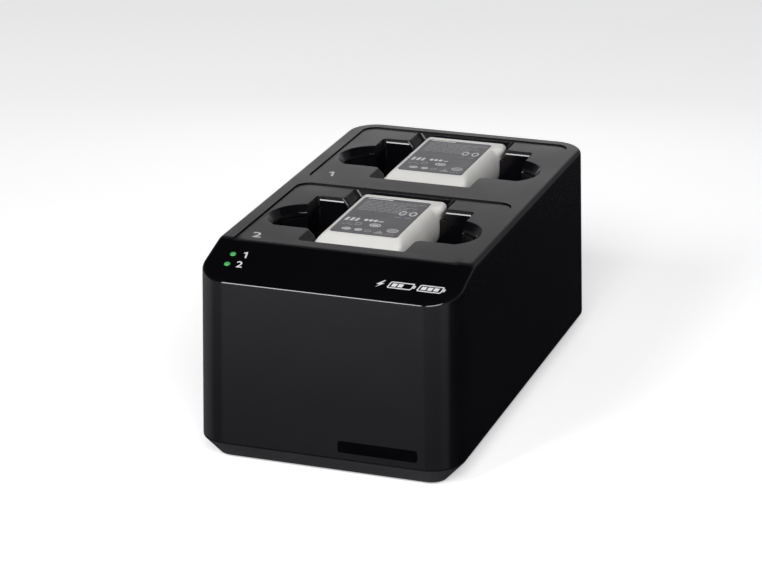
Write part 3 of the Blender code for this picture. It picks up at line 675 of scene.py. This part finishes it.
def housing_skin():
    """The closed outer form: drafted walls, rounded over into the deck and the sloped front band."""
    side_ys = fold_lines()
    base_round = 0.35 * MM

    def ring(inset, height):
        points = []
        rough = drafted_outline(DECK_Z, inset, side_ys)
        for i, (_, y) in enumerate(rough):
            x, y = drafted_outline(height(y), inset, side_ys)[i]
            points.append((x, y, height(y)))
        return points

    def rounded_ring(inward, down):
        points = []
        for i, (_, rough_y) in enumerate(drafted_outline(DECK_Z, 0.0, side_ys)):
            share = min(1.0, max(0.0, (rough_y - SHELL_LOW.y - CORNER_R / 2) / CORNER_R))
            radius = FRONT_EDGE_R + (EDGE_R - FRONT_EDGE_R) * share
            x, y = drafted_outline(top_z(rough_y), radius * inward, side_ys)[i]
            points.append((x, y, top_z(y) - radius * down))
        return points

    rings = [ring(base_round, lambda y: BODY_BOTTOM_Z), ring(0.0, lambda y: BODY_BOTTOM_Z + base_round)]
    steps = 7
    for k in range(steps + 1):
        angle = math.radians(90 * k / steps)
        rings.append(rounded_ring(1 - math.cos(angle), 1 - math.sin(angle)))

    bm = bmesh.new()
    rows = [[bm.verts.new(point) for point in ring_points] for ring_points in rings]
    bridge(bm, rows)
    bm.faces.new(list(reversed(rows[0])))
    top = rows[-1]
    corner = CORNER_STEPS + 1
    lines = len(side_ys)
    right = top[corner:corner + lines]
    rear = top[corner + lines:3 * corner + lines]
    left = top[3 * corner + lines:3 * corner + 2 * lines][::-1]
    front = top[3 * corner + 2 * lines:] + top[:corner]
    bm.faces.new([left[0]] + front + [right[0]])
    for i in range(lines - 1):
        bm.faces.new((left[i], right[i], right[i + 1], left[i + 1]))
    bm.faces.new([right[-1]] + rear + [left[-1]])
    bmesh.ops.recalc_face_normals(bm, faces=bm.faces)
    return bm


def housing_hollow():
    """The room inside the housing, cut out of the closed form."""
    rings = []
    for z in (BODY_BOTTOM_Z - 2 * MM, DECK_Z - ROOF):
        rings.append([(x, y, z) for x, y in drafted_outline(z, WALL, [])])
    sine, cosine = math.sin(SLOPE_ANGLE), math.cos(SLOPE_ANGLE)
    point = (0, SLOPE_TOP_Y + sine * WALL, DECK_Z - cosine * WALL)
    return clipped(loft(rings), point, (0, -sine, cosine))


def slope_matrix(x, y, lift=0.0):
    """A place on the slope's surface, square to it."""
    z = DECK_Z + (y - SLOPE_TOP_Y) * math.tan(SLOPE_ANGLE)
    turn = Matrix.Rotation(SLOPE_ANGLE, 4, "X")
    return Matrix.Translation((x, y, z)) @ turn @ Matrix.Translation((0, 0, lift))


def build_housing(finish):
    bm = cut(housing_skin(), housing_hollow())
    for front, rear in PANEL_Y.values():
        bm = cut(bm, prism(rounded_box(PANEL_X, front, rear, PANEL_R), DECK_Z - 2 * ROOF, DECK_Z + 2 * MM))
    front_step = block(-PANEL_X, PANEL_X, SLOPE_TOP_Y - 4 * MM, PANEL_Y[2][0] + PANEL_R,
                       PANEL_Z, DECK_Z + 2 * MM)
    bm = cut(bm, front_step)
    for y in LIGHT_Y.values():
        bm = cut(bm, moved(prism(circle(0, 0, LIGHT_R + GAP), -5 * MM, 5 * MM), slope_matrix(LIGHT_X, y)))
    jack_place = Matrix.Translation((JACK_X, SHELL_HIGH.y - 2 * MM, JACK_Z))
    jack_place = jack_place @ Matrix.Rotation(math.pi / 2, 4, "X")
    bm = cut(bm, moved(prism(circle(0, 0, JACK_HOLE_R), -3 * MM, 3 * MM), jack_place))
    bmesh.ops.remove_doubles(bm, verts=bm.verts, dist=WELD)
    panel_edge = PANEL_X + 1 * MM
    round_edges(bm, 0.22 * MM, 2, lambda p: abs(p.x) < panel_edge and p.z > DECK_Z - 0.05 * MM)
    for face in bm.faces:
        middle = face.calc_center_median()
        on_deck = middle.z > PANEL_Z - 0.8 * MM and middle.y > SLOPE_TOP_Y - 1.6 * MM
        face.material_index = 1 if on_deck and face.normal.z > 0.35 else 0
    skins = [finish["gloss"], finish["textured"]]
    piece("housing_moulding", bm, skins, "dock", "gloss_black", "housing_shell")


# ---------------------------------------------------------------- bays

def panel_outlines(bay):
    """The bezel's flange and its raised panel, in the bay's own y."""
    front, rear = (edge - BAY_Y[bay] for edge in PANEL_Y[bay])
    reach_front, reach_rear = FLANGE_REACH[bay]
    flange = rounded_box(PANEL_X + FLANGE_SIDE, front - reach_front, rear + reach_rear,
                         PANEL_R + FLANGE_SIDE)
    front_gap = CLOSED_JOINT if bay == 2 else PANEL_GAP

    def panel(inset):
        front_inset = 0.0 if bay == 2 else inset
        return rounded_box(PANEL_X - PANEL_GAP - inset, front + front_gap + front_inset,
                           rear - PANEL_GAP - inset, PANEL_R - PANEL_GAP - inset)

    return flange, panel


def build_bezel(bay, finish):
    """A bay's raised panel: the lead-in round its opening is polished on the sides that face the front."""
    flange, panel = panel_outlines(bay)
    shift = BAY_Y[bay]
    step_z = DECK_Z - ROOF - GAP
    edge = 0.2 * MM
    outer = [at_height(flange, BEZEL_BOTTOM_Z, shift), at_height(flange, step_z, shift),
             at_height(panel(0.0), step_z, shift), at_height(panel(0.0), PANEL_Z - edge, shift),
             at_height(panel(0.3 * edge), PANEL_Z - 0.3 * edge, shift),
             at_height(panel(edge), PANEL_Z, shift)]
    profile = [(-0.16, 0.0), (-0.05, -0.04 * MM), (0.04, -0.16 * MM), (0.88, -LEAD_IN_DEPTH + 0.25 * MM),
               (1.0, -LEAD_IN_DEPTH - 0.15 * MM), (1.0, BEZEL_BOTTOM_Z - PANEL_Z)]
    hole = []
    for share, drop in profile:
        outline = pocket_outline(LEAD_IN * share, POST_LEAD_IN * share)
        hole.append(at_height(outline, PANEL_Z + drop, shift))
    bm = holed_plate(outer, hole)
    bm.normal_update()
    for face in bm.faces:
        x = abs(face.calc_center_median().x)
        chamfer = abs(face.normal.z) < 0.8 and x < PANEL_X - 0.5 * MM
        slot_corner = x < SLOT_X + 1 * MM and abs(face.normal.x) > 0.12
        face.material_index = 1 if chamfer and face.normal.y < -0.25 and not slot_corner else 0
    piece(f"bezel_{bay}_moulding", bm, [finish["textured"], finish["gloss"]], "dock", "matt_black",
          f"bay_bezel_{bay}")


def build_tub(bay, finish):
    """The pocket's liner: two deep ends joined under the pack's shelf, with a thin lip under the bezel."""
    shift = BAY_Y[bay]
    low, high = TUB_BOTTOM_Z, BEZEL_BOTTOM_Z - GAP
    floor = low + TUB_WALL
    inner = LEAD_IN + TUB_LIP
    inner_post = POST_LEAD_IN + TUB_LIP
    flange, _ = panel_outlines(bay)
    bm = prism(flange, high - TUB_FLANGE, high, shift)
    outer = pocket_outline(inner - TUB_WALL, inner_post - TUB_WALL, slot=False)
    bm = join(bm, prism(outer, low, high - 0.5 * MM, shift))
    slot_x = SLOT_X - inner
    slot_front, slot_rear = SLOT_FRONT + inner_post, SLOT_REAR - inner_post
    slot_outer = rounded_box(slot_x + TUB_WALL, slot_front - TUB_WALL, slot_rear + TUB_WALL, 2.5 * MM, 6)
    slot_inner = rounded_box(slot_x, slot_front, slot_rear, 1.2 * MM, 6)
    bm = join(bm, prism(slot_outer, SHELF_Z - TUB_WALL, high - 0.5 * MM, shift))
    bm = cut(bm, prism(pocket_outline(inner, inner_post, slot=False), floor, high + 1 * MM, shift))
    bm = cut(bm, prism(slot_inner, SHELF_Z, high + 1 * MM, shift))
    lug_foot, lug_top = high - TUB_FLANGE, PANEL_Z - LUG_DROP
    lug_front = shift + POST_Y - inner_post - 0.05 * MM
    lug_back = shift + POST_Y - POST_LEAD_IN - 0.02 * MM
    section = [(lug_front, lug_foot), (lug_front, lug_top - LUG_FACET),
               (lug_front + 0.56 * LUG_FACET, lug_top), (lug_back, lug_top), (lug_back, lug_foot)]
    for side in (-1, 1):
        near, far = sorted((side * (slot_x + 2.4 * MM), side * (POST_X - 1.2 * MM)))
        bm = join(bm, loft([[(x, y, z) for y, z in section] for x in (near, far)]))
    for x in PACK_PIN_X:
        bore = circle(x, shift + PACK_PIN_Y, PIN_BORE_R, 20)
        bm = cut(bm, prism(bore, SHELF_Z - 4 * MM, SHELF_Z + 2 * MM))
    window = block(-RADIO_WINDOW_X, RADIO_WINDOW_X, shift - RADIO_WINDOW_Y, shift + RADIO_WINDOW_Y,
                   floor - 4 * MM, floor + 1 * MM)
    bm = cut(bm, window)
    bmesh.ops.remove_doubles(bm, verts=bm.verts, dist=WELD)
    round_edges(bm, 0.3 * MM, 3, lambda p: abs(p.z - high) < 0.05 * MM and abs(p.x) < PANEL_X - 0.5 * MM)
    piece(f"tub_{bay}_moulding", bm, [finish["gloss"]], "dock", "gloss_black", f"bay_tub_{bay}")


# ---------------------------------------------------------------- battery packs

def eased_min(first, second, reach):
    """The smaller of two values, with the change from one to the other rounded over a reach."""
    near = max(reach - abs(first - second), 0.0)
    return min(first, second) - near * near / (4 * reach)


def eased(value):
    """0 below 0, 1 above 1, and a smooth rise between them."""
    value = min(1.0, max(0.0, value))
    return value * value * (3 - 2 * value)


def key_x(z, own_x):
    """How far the ear at the right rear corner reaches at a height, fading into the pack's side below."""
    crown = PACK_HIGH.z - PACK_KEY_CROWN
    if z >= crown:
        rise = (z - crown) / PACK_KEY_CROWN
        return PACK_KEY_X - 2.0 * MM * (1 - math.sqrt(max(0.0, 1 - rise * rise)))
    fade = eased((crown - z) / PACK_KEY_FADE)
    return PACK_KEY_X + (own_x - PACK_KEY_X) * fade


def pack_ring(y, inset, narrowed, capped, shift, steps=14):
    """The pack's cross-section at y: elliptical sides, an ear at the right, cut above by the bevel."""
    half = PACK_HALF_WIDTH - inset - narrowed
    bottom = PACK_LOW.z + inset + 0.5 * narrowed
    top = PACK_HIGH.z - inset
    side = PACK_HALF_WIDTH - PACK_FLAT
    flat = half - side
    middle, rise = (bottom + top) / 2, (top - bottom) / 2
    bevel = PACK_HIGH.z - inset - (PACK_BEVEL_Y - y) * math.tan(PACK_BEVEL_ANGLE)
    key_share = 0.0 if inset else eased((y - PACK_KEY_Y[0]) / (PACK_KEY_Y[1] - PACK_KEY_Y[0]))
    right, left = [], []
    for i in range(2 * steps + 1):
        angle = math.radians(-90 + 90 * i / steps)
        x = flat + side * math.cos(angle)
        z = middle + rise * math.sin(angle)
        if angle > 0:
            z = max(middle, eased_min(z, bevel, 0.9 * MM) - capped * math.sin(angle))
        left.append((-x, y + shift, z))
        if z > middle and key_share:
            x += max(0.0, key_x(z + capped * math.sin(angle), x + narrowed) - x - narrowed) * key_share
        right.append((x, y + shift, z))
    return right + left[::-1]


def pack_form(inset, shift):
    """The pack's outer form, or the hollow inside it: both ends round in plan and over the top."""
    front, rear = PACK_FRONT + inset, PACK_REAR - inset
    rings = []
    for k in range(10):
        turn = math.radians(10 * k)
        lost = 1 - math.sin(turn)
        y = front + PACK_FRONT_ROUND * (1 - math.cos(turn))
        rings.append(pack_ring(y, inset, PACK_FRONT_ROUND * lost, 1.6 * MM * lost, shift))
    between = [PACK_BEVEL_Y + step * MM for step in (-4.0, -2.4, -1.2, 0.0, 1.2, 2.6)] + [0.0, 12 * MM]
    if not inset:
        key_length = PACK_KEY_Y[1] - PACK_KEY_Y[0]
        between += [PACK_KEY_Y[0] + key_length * k / 7 for k in range(8)]
    for y in between:
        rings.append(pack_ring(y, inset, 0.0, 0.0, shift))
    for k in range(9, -1, -1):
        turn = math.radians(10 * k)
        lost = 1 - math.sin(turn)
        y = rear - PACK_REAR_ROUND * (1 - math.cos(turn))
        rings.append(pack_ring(y, inset, PACK_REAR_ROUND * lost, 2.2 * MM * lost, shift))
    return loft(rings)


def build_pack(bay, finish):
    """A pack's hollow cover with the label's recess, and the label film that lies in it."""
    shift = BAY_Y[bay]
    name = f"battery_{bay}"
    split_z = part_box(f"{name}_cover")[0].z
    bm = clipped(pack_form(0.0, shift), (0, 0, split_z), (0, 0, -1))
    bm = cut(bm, pack_form(PACK_WALL, shift))
    recess = rounded_box(LABEL_X + LABEL_GAP, LABEL_Y[0] - LABEL_GAP, LABEL_Y[1] + LABEL_GAP, 1.1 * MM, 6)
    bm = cut(bm, prism(recess, PACK_HIGH.z - 0.5 * MM, PACK_HIGH.z + 1 * MM, shift))
    bmesh.ops.remove_doubles(bm, verts=bm.verts, dist=WELD)
    piece(f"{name}_cover_moulding", bm, [finish["white"]], name, "pack_white", f"{name}_cover")

    label_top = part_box(f"{name}_label")[1].z
    edge = 0.08 * MM
    rings = []
    for inset, z in ((0.0, label_top - 0.3 * MM), (0.0, label_top - edge), (edge, label_top)):
        outline = rounded_box(LABEL_X - inset, LABEL_Y[0] + inset, LABEL_Y[1] - inset, 1.0 * MM, 6)
        rings.append(at_height(outline, z, shift))
    piece(f"{name}_label_film", loft(rings), [finish["label"]], name, "label_grey", f"{name}_label")


# ---------------------------------------------------------------- print and marks

def italic(outline, lean=0.2):
    return [(x + lean * y, y) for x, y in outline]


def rectangle(x, y, width, height):
    """A small printed bar, from its lower left corner."""
    return [(x, y), (x + width, y), (x + width, y + height), (x, y + height)]


def ellipse(x, y, half_x, half_y, steps=24):
    return [(x + half_x * px, y + half_y * py) for px, py in circle(0, 0, 1.0, steps)]


def oval_ring(x, y, half_x, half_y, line_x, line_y):
    """A printed ring: its outer half sizes, and how wide its line is at the sides and at the top."""
    return ink_ring(ellipse(x, y, half_x, half_y), ellipse(x, y, half_x - line_x, half_y - line_y))


def pieced(parts):
    """Several meshes as one."""
    bm = bmesh.new()
    for part in parts:
        mesh = bpy.data.meshes.new("temporary")
        part.to_mesh(mesh)
        part.free()
        bm.from_mesh(mesh)
        bpy.data.meshes.remove(mesh)
    return bm


def ink(outline):
    """A printed shape, as a film of ink."""
    return prism(outline, 0.0, PRINT_THICKNESS)


def ink_ring(outline, hole):
    """A printed outline with its middle left clear; both have the same number of points."""
    return holed_plate([at_height(outline, 0.0), at_height(outline, PRINT_THICKNESS)],
                       [at_height(hole, PRINT_THICKNESS), at_height(hole, 0.0)])


def printed(name, parts, place, finish, body, slot):
    """A printed mark, laid on a surface by the matrix of its place."""
    piece(name, moved(pieced(parts), place), [finish], body, slot)


def figure_one(height, lean):
    """The figure 1 with a short flag, centred on the origin."""
    outline = [(-0.04, -0.5), (0.14, -0.5), (0.14, 0.5), (0.0, 0.5),
               (-0.26, 0.34), (-0.26, 0.18), (-0.04, 0.28)]
    return ink(italic([(height * x, height * y) for x, y in outline], lean))


def numeral(text, height, weight, lean):
    """A plain figure of a height, centred on the origin."""
    if text == "1":
        return moved(figure_one(height, lean), Matrix.Translation((0, 0, -PRINT_THICKNESS / 2)))
    curve = bpy.data.curves.new("figure", "FONT")
    curve.body = text
    curve.size = height / FIGURE_SHARE
    curve.shear = lean
    curve.offset = weight * height
    curve.extrude = PRINT_THICKNESS / 2
    curve.resolution_u = 6
    curve.align_x = "CENTER"
    curve.align_y = "CENTER"
    figure = bpy.data.objects.new("figure", curve)
    bpy.context.scene.collection.objects.link(figure)
    depsgraph = bpy.context.evaluated_depsgraph_get()
    mesh = bpy.data.meshes.new_from_object(figure.evaluated_get(depsgraph))
    bm = bmesh.new()
    bm.from_mesh(mesh)
    bpy.data.objects.remove(figure)
    bpy.data.curves.remove(curve)
    bpy.data.meshes.remove(mesh)
    bmesh.ops.remove_doubles(bm, verts=bm.verts, dist=0.001 * MM)
    return bm


def build_numbers(finish):
    """The bay numbers on the deck, and the same figures beside the two lights."""
    for bay, (x, y) in DECK_FIGURE_PLACE.items():
        place = Matrix.Translation((x, y, PANEL_Z + PRINT_THICKNESS / 2))
        figure = numeral(str(bay), DECK_FIGURE, 0.02, -0.23)
        printed(f"bay_number_{bay}", [figure], place, finish["grey_ink"], "dock", "pack_white")
    for bay, y in LIGHT_Y.items():
        place = slope_matrix(LIGHT_X + 4.5 * MM, y + 0.5 * MM, PRINT_THICKNESS / 2)
        figure = numeral(str(bay), LIGHT_FIGURE, 0.018, -0.15)
        printed(f"light_number_{bay}", [figure], place, finish["white_ink"], "dock", "pack_white")


def build_slope_marks(finish):
    """Plain charging signs at the right of the slope: a bolt, and cells with two and three bars."""
    bolt = [(1.9, 4.1), (0.2, 1.7), (1.3, 1.7), (0.7, 0.0), (2.7, 2.5), (1.6, 2.5), (2.4, 4.1)]
    parts = [ink(italic([(x * MM, y * MM) for x, y in bolt]))]
    for start, bars in ((4.4 * MM, 2), (14.8 * MM, 3)):
        outer = rounded_box(4.3 * MM, 0.3 * MM, 3.9 * MM, 0.7 * MM, 4)
        inner = rounded_box(3.85 * MM, 0.75 * MM, 3.45 * MM, 0.3 * MM, 4)
        outer = italic([(x + start + 4.3 * MM, y) for x, y in outer])
        inner = italic([(x + start + 4.3 * MM, y) for x, y in inner])
        parts.append(ink_ring(outer, inner))
        parts.append(ink(italic(rectangle(start + 8.75 * MM, 1.4 * MM, 0.6 * MM, 1.4 * MM))))
        for k in range(bars):
            bar = rectangle(start + (1.1 + 2.2 * k) * MM, 1.25 * MM, 1.7 * MM, 1.7 * MM)
            parts.append(ink(italic(bar)))
    place = slope_matrix(*SIGNS_PLACE)
    printed("charging_signs", parts, place, finish["white_ink"], "dock", "pack_white")


def build_front_bar(finish):
    """A plain polished bar, low on the right of the front face, a hair proud of it."""
    edge = BAR_PROUD / 2
    corner = 1.0 * MM
    outline = rounded_box(BAR_HALF_WIDTH, 0.0, BAR_HEIGHT, corner, 5)
    inner = rounded_box(BAR_HALF_WIDTH - edge, edge, BAR_HEIGHT - edge, corner - edge, 5)
    bm = loft([at_height(outline, -0.3 * MM), at_height(outline, edge), at_height(inner, BAR_PROUD)])
    lean = math.atan(FRONT_DRAFT / (DECK_Z - BODY_BOTTOM_Z))
    rise = (BAR_Z - BODY_BOTTOM_Z) / (DECK_Z - BODY_BOTTOM_Z)
    place = Matrix.Translation((BAR_X, SHELL_LOW.y + FRONT_DRAFT * rise, BAR_Z))
    place = place @ Matrix.Rotation(math.pi / 2 - lean, 4, "X")
    piece("front_bar", moved(bm, place), [finish["badge"]], "dock", "gloss_black")


def build_label_print(bay, finish):
    """Generic print on a pack's label: a heading bar, rows of fine dashes, and plain signs."""
    pale, faint = [], []
    pale.append(ink(rectangle(-11.0 * MM, 24.9 * MM, 9.4 * MM, 0.8 * MM)))
    for row in range(8):
        y = (22.8 - 1.45 * row) * MM
        x = -10.8 * MM
        step = 0
        while x < (9.0 - 2.2 * (row % 3)) * MM:
            length = (1.0 + 0.55 * ((3 * step + 2 * row) % 5)) * MM
            faint.append(ink(rectangle(x, y, length, 0.42 * MM)))
            x += length + 0.45 * MM
            step += 1
    for x in (5.2 * MM, 9.0 * MM):
        faint.append(ink(rectangle(x - 0.6 * MM, 8.4 * MM, 2.4 * MM, 0.4 * MM)))
        pale.append(oval_ring(x + 1.0 * MM, 13.2 * MM, 1.35 * MM, 2.2 * MM, 0.5 * MM, 0.6 * MM))
    for k, width in enumerate((1.1, 1.2, 1.0)):
        pale.append(ink(italic(rectangle((-11.4 + 1.9 * k) * MM, 0.6 * MM, width * MM, 3.2 * MM), 0.1)))
    for k in range(3):
        pale.append(ink(ellipse((-3.7 + 1.75 * k) * MM, 2.6 * MM, 0.75 * MM, 1.1 * MM)))
    pale.append(ink(rectangle(0.9 * MM, 2.0 * MM, 2.0 * MM, 0.6 * MM)))
    pale.append(oval_ring(1.2 * MM, -1.8 * MM, 2.1 * MM, 1.6 * MM, 0.45 * MM, 0.4 * MM))
    pale.append(ink(rectangle(0.1 * MM, -2.2 * MM, 2.2 * MM, 0.8 * MM)))
    tall_frame = ink_ring(rounded_box(1.1 * MM, -3.4 * MM, -0.6 * MM, 0.3 * MM, 3),
                          rounded_box(0.7 * MM, -3.0 * MM, -1.0 * MM, 0.2 * MM, 3))
    faint.append(moved(tall_frame, Matrix.Translation((-5.0 * MM, 0, 0))))
    for k in range(3):
        faint.append(ink(rectangle((-10.6 + 1.4 * k) * MM, (-3.6 + 0.9 * (k % 2)) * MM, 1.0 * MM, 0.5 * MM)))
    for x, half in ((-7.4 * MM, 1.7 * MM), (-3.0 * MM, 1.4 * MM)):
        pale.append(oval_ring(x, -7.7 * MM, half, 1.2 * MM, 0.45 * MM, 0.45 * MM))
        pale.append(ink(rectangle(x - 0.7 * MM, -7.95 * MM, 1.4 * MM, 0.5 * MM)))
    faint.append(oval_ring(0.6 * MM, -8.0 * MM, 1.3 * MM, 1.2 * MM, 0.4 * MM, 0.4 * MM))
    faint.append(ink([(3.0 * MM, -9.6 * MM), (6.8 * MM, -9.6 * MM), (4.9 * MM, -6.6 * MM)]))
    faint.append(ink(ellipse(8.9 * MM, -5.4 * MM, 1.9 * MM, 1.7 * MM)))
    pale.append(oval_ring(8.9 * MM, -5.4 * MM, 2.1 * MM, 1.9 * MM, 0.25 * MM, 0.25 * MM))
    for k in range(3):
        faint.append(ink(rectangle((7.4 + 1.2 * k) * MM, -9.6 * MM, 0.8 * MM, 0.5 * MM)))
    name = f"battery_{bay}"
    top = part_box(f"{name}_label")[1].z
    place = Matrix.Translation((0, BAY_Y[bay], top))
    printed(f"{name}_label_signs", pale, place, finish["ink"], name, "label_grey")
    printed(f"{name}_label_fine_print", faint, place, finish["faint_ink"], name, "label_grey")


# ---------------------------------------------------------------- small pieces

def build_lenses(finish):
    """The two domed light pipes, each in a dark hole of the slope."""
    for number, y in LIGHT_Y.items():
        profile = [(LIGHT_R, -2.7 * MM), (LIGHT_R, 0.0)]
        for angle in range(10, 90, 10):
            turn = math.radians(angle)
            profile.append((LIGHT_R * math.cos(turn), LIGHT_DOME * math.sin(turn)))
        flange = [(2.1 * MM, -5.3 * MM), (2.1 * MM, -3.2 * MM)]
        bm = loft([at_height(circle(0, 0, r, 28), z) for r, z in flange + profile])
        for face in bm.faces:
            middle = face.calc_center_median()
            lit = middle.z > 0 and math.hypot(middle.x, middle.y) < 0.9 * LIGHT_R
            face.material_index = 0 if lit else 1
        bm = moved(bm, slope_matrix(LIGHT_X, y))
        piece(f"light_pipe_{number}", bm, [finish["lens"], finish["lens_rim"]], "dock", "light_green",
              f"indicator_lens_{number}")


# ---------------------------------------------------------------- finishes of the pieces

def dress(finish):
    """Every CAD node that stays gets the finish of what it is made of."""
    kinds = {
        "base_cover": "base", "battery_contact_block": "epoxy", "transmitter_contact_block": "epoxy",
        "battery_contact_pin": "gold", "transmitter_contact_pin": "gold", "battery_contact_lead": "ribbon",
        "main_circuit_board": "board", "indicator_board": "board", "power_jack": "epoxy",
        "smoothing_capacitor": "epoxy", "charge_choke": "epoxy", "charge_regulator": "epoxy",
        "indicator_led": "lens", "indicator_lens": "lens", "indicator_ribbon": "ribbon",
        "rubber_foot": "rubber", "case_screw": "steel", "board_screw": "steel",
        "housing_shell": "gloss", "bay_bezel": "textured", "bay_tub": "gloss",
    }
    pack_kinds = {"cover": "white", "tray": "white", "label": "label", "cell": "sleeve",
                  "protection_board": "board", "contact_strip": "gold"}
    for name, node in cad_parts.items():
        kind = next((kinds[stem] for stem in kinds if name.startswith(stem)), None)
        if kind is None:
            kind = pack_kinds[name.split("_", 2)[2]]
        for slot in node.material_slots:
            slot.material = finish[kind]


def finishes():
    return {
        "gloss": gloss_abs(),
        "textured": textured_abs(),
        "base": base_abs(),
        "white": white_polycarbonate(),
        "label": label_film(),
        "ink": print_ink("pale_label_ink", "#DADADC", "#E4E4E6"),
        "faint_ink": print_ink("faint_label_ink", "#9A9A9D", "#A6A6A9"),
        "grey_ink": print_ink("grey_pad_print", "#D2D2D3", "#DCDCDD"),
        "badge": badge_gloss(),
        "white_ink": print_ink("white_pad_print", "#D9D9DA", "#E4E4E4"),
        "gold": gold_plate(),
        "steel": zinc_steel(),
        "rubber": foot_rubber(),
        "board": solder_mask(),
        "epoxy": epoxy_black(),
        "sleeve": heat_shrink(),
        "lens": lit_lens(),
        "lens_rim": dark_lens_rim(),
        "ribbon": ribbon_jacket(),
    }


# ---------------------------------------------------------------- stage

def set_camera():
    """A long lens from in front, a little to the right and above."""
    level = Vector((math.cos(CAMERA_AZIMUTH), math.sin(CAMERA_AZIMUTH), 0))
    ahead = Vector((-math.sin(CAMERA_AZIMUTH), math.cos(CAMERA_AZIMUTH), 0))
    forward = ahead * math.cos(CAMERA_PITCH) - Vector((0, 0, math.sin(CAMERA_PITCH)))
    upright = level.cross(forward)
    right = level * math.cos(CAMERA_ROLL) + upright * math.sin(CAMERA_ROLL)
    up = upright * math.cos(CAMERA_ROLL) - level * math.sin(CAMERA_ROLL)
    data = bpy.data.cameras.new("camera")
    data.lens = CAMERA_LENS
    data.sensor_width = 36.0
    data.sensor_fit = "HORIZONTAL"
    data.clip_start = 0.01
    camera = bpy.data.objects.new("camera", data)
    bpy.context.scene.collection.objects.link(camera)
    turn = Matrix((right, up, -forward)).transposed().to_4x4()
    camera.matrix_world = Matrix.Translation(CAMERA_PLACE) @ turn
    bpy.context.scene.camera = camera


def softbox(name, place, target, width, height, power):
    """A rectangular area light that looks at its target and isn't seen itself."""
    data = bpy.data.lights.new(name, "AREA")
    data.shape = "RECTANGLE"
    data.size = width
    data.size_y = height
    data.energy = power
    light = bpy.data.objects.new(name, data)
    bpy.context.scene.collection.objects.link(light)
    light.location = place
    light.rotation_euler = (Vector(target) - Vector(place)).to_track_quat("-Z", "Y").to_euler()
    light.visible_camera = False


def turned(*stops):
    """Ramp stops given by the bearing from straight in front, in degrees, positive to the right."""
    return [((bearing + 180) / 360, code) for bearing, code in stops]


def lay_floor():
    """A wide sheet of white paper at the level that the dock stands on."""
    reach = 6.0
    corners = [(-reach, -reach, FLOOR_Z), (reach, -reach, FLOOR_Z),
               (reach, reach, FLOOR_Z), (-reach, reach, FLOOR_Z)]
    mesh = bpy.data.meshes.new("floor")
    mesh.from_pydata(corners, [], [(0, 1, 2, 3)])
    mesh.materials.append(floor_paper())
    floor = bpy.data.objects.new("floor", mesh)
    bpy.context.scene.collection.objects.link(floor)
    floor.visible_glossy = False


def set_room():
    """The room that the gloss mirrors: bright low down, dark overhead, brightest to the left."""
    world = bpy.data.worlds.new("studio_room")
    bpy.context.scene.world = world
    world.use_nodes = True
    tree = world.node_tree
    tree.nodes.clear()
    direction = put(tree, "ShaderNodeTexCoord").outputs["Generated"]
    split = put(tree, "ShaderNodeSeparateXYZ", Vector=direction).outputs
    height = spread(tree, split["Z"], 0.0, 1.0, -1.0, 1.0)
    glow = ramp(tree, height, (0.0, "#404040"), (0.30, "#6A696E"), (0.338, "#8E8D93"), (0.368, "#DCDBE2"),
                (0.5, "#CDCDD0"), (0.6, "#DCDCE0"), (0.66, "#BCBCC0"), (0.74, "#68686C"), (0.86, "#161618"),
                (1.0, "#161618"))
    toward = put(tree, "ShaderNodeMath", {"operation": "MULTIPLY"}, i0=split["Y"], i1=-1.0).outputs["Value"]
    turn = put(tree, "ShaderNodeMath", {"operation": "ARCTAN2"}, i0=split["X"], i1=toward).outputs["Value"]
    around = spread(tree, turn, 0.0, 1.0, -math.pi, math.pi)
    below = turned((-180, "#5A5A5A"), (-150, "#B8B8B8"), (-100, "#FFFFFF"), (-80, "#FFFFFF"),
                   (-60, "#B4B4B4"), (-34, "#B4B4B4"), (-23, "#E6E6E6"), (-12, "#E6E6E6"),
                   (-3, "#C4C4C4"), (40, "#BCBCBC"), (60, "#DCDCDC"), (72, "#D4D4D4"),
                   (84, "#606060"), (105, "#2A2A2A"), (150, "#262626"), (180, "#4A4A4A"))
    overhead = turned((-180, "#9C9C9C"), (-155, "#9C9C9C"), (-140, "#747474"), (-60, "#8C8C8C"),
                      (-20, "#C0C0C0"), (60, "#A0A0A0"), (140, "#8A8A8A"), (172, "#8A8A8A"),
                      (180, "#9C9C9C"))
    low = ramp(tree, around, *below)
    high = ramp(tree, around, *overhead)
    above = spread(tree, split["Z"], 0.0, 1.0, -0.12, 0.02)
    share = put(tree, "ShaderNodeMix", {"data_type": "RGBA"}, i0=above, i6=low, i7=high).outputs[2]
    multiply = {"data_type": "RGBA", "blend_type": "MULTIPLY"}
    light = put(tree, "ShaderNodeMix", multiply, i0=1.0, i6=glow, i7=share).outputs[2]
    background = put(tree, "ShaderNodeBackground", Color=light, Strength=1.25)
    put(tree, "ShaderNodeOutputWorld", Surface=background.outputs["Background"])


def set_studio():
    """White paper, the room, a large softbox high in front, one at the left and a low strip behind."""
    bpy.context.scene.view_settings.view_transform = "Standard"
    lay_floor()
    set_room()
    softbox("key_softbox", (0.42, -1.1, 0.95), (0, 0, 0.05), 1.0, 0.6, 18)
    softbox("left_softbox", (-0.52, -1.12, 0.93), (0, 0, 0.05), 0.34, 0.5, 8)
    softbox("rear_softbox", (-0.09, 0.32, 0.145), (0, 0.04, 0.07), 0.28, 0.08, 0.06)


# ---------------------------------------------------------------- main

finish = finishes()
set_camera()
set_studio()
dress(finish)
build_housing(finish)
for bay in BAY_Y:
    build_bezel(bay, finish)
    build_tub(bay, finish)
    build_pack(bay, finish)
    build_label_print(bay, finish)
build_numbers(finish)
build_slope_marks(finish)
build_front_bar(finish)
build_lenses(finish)
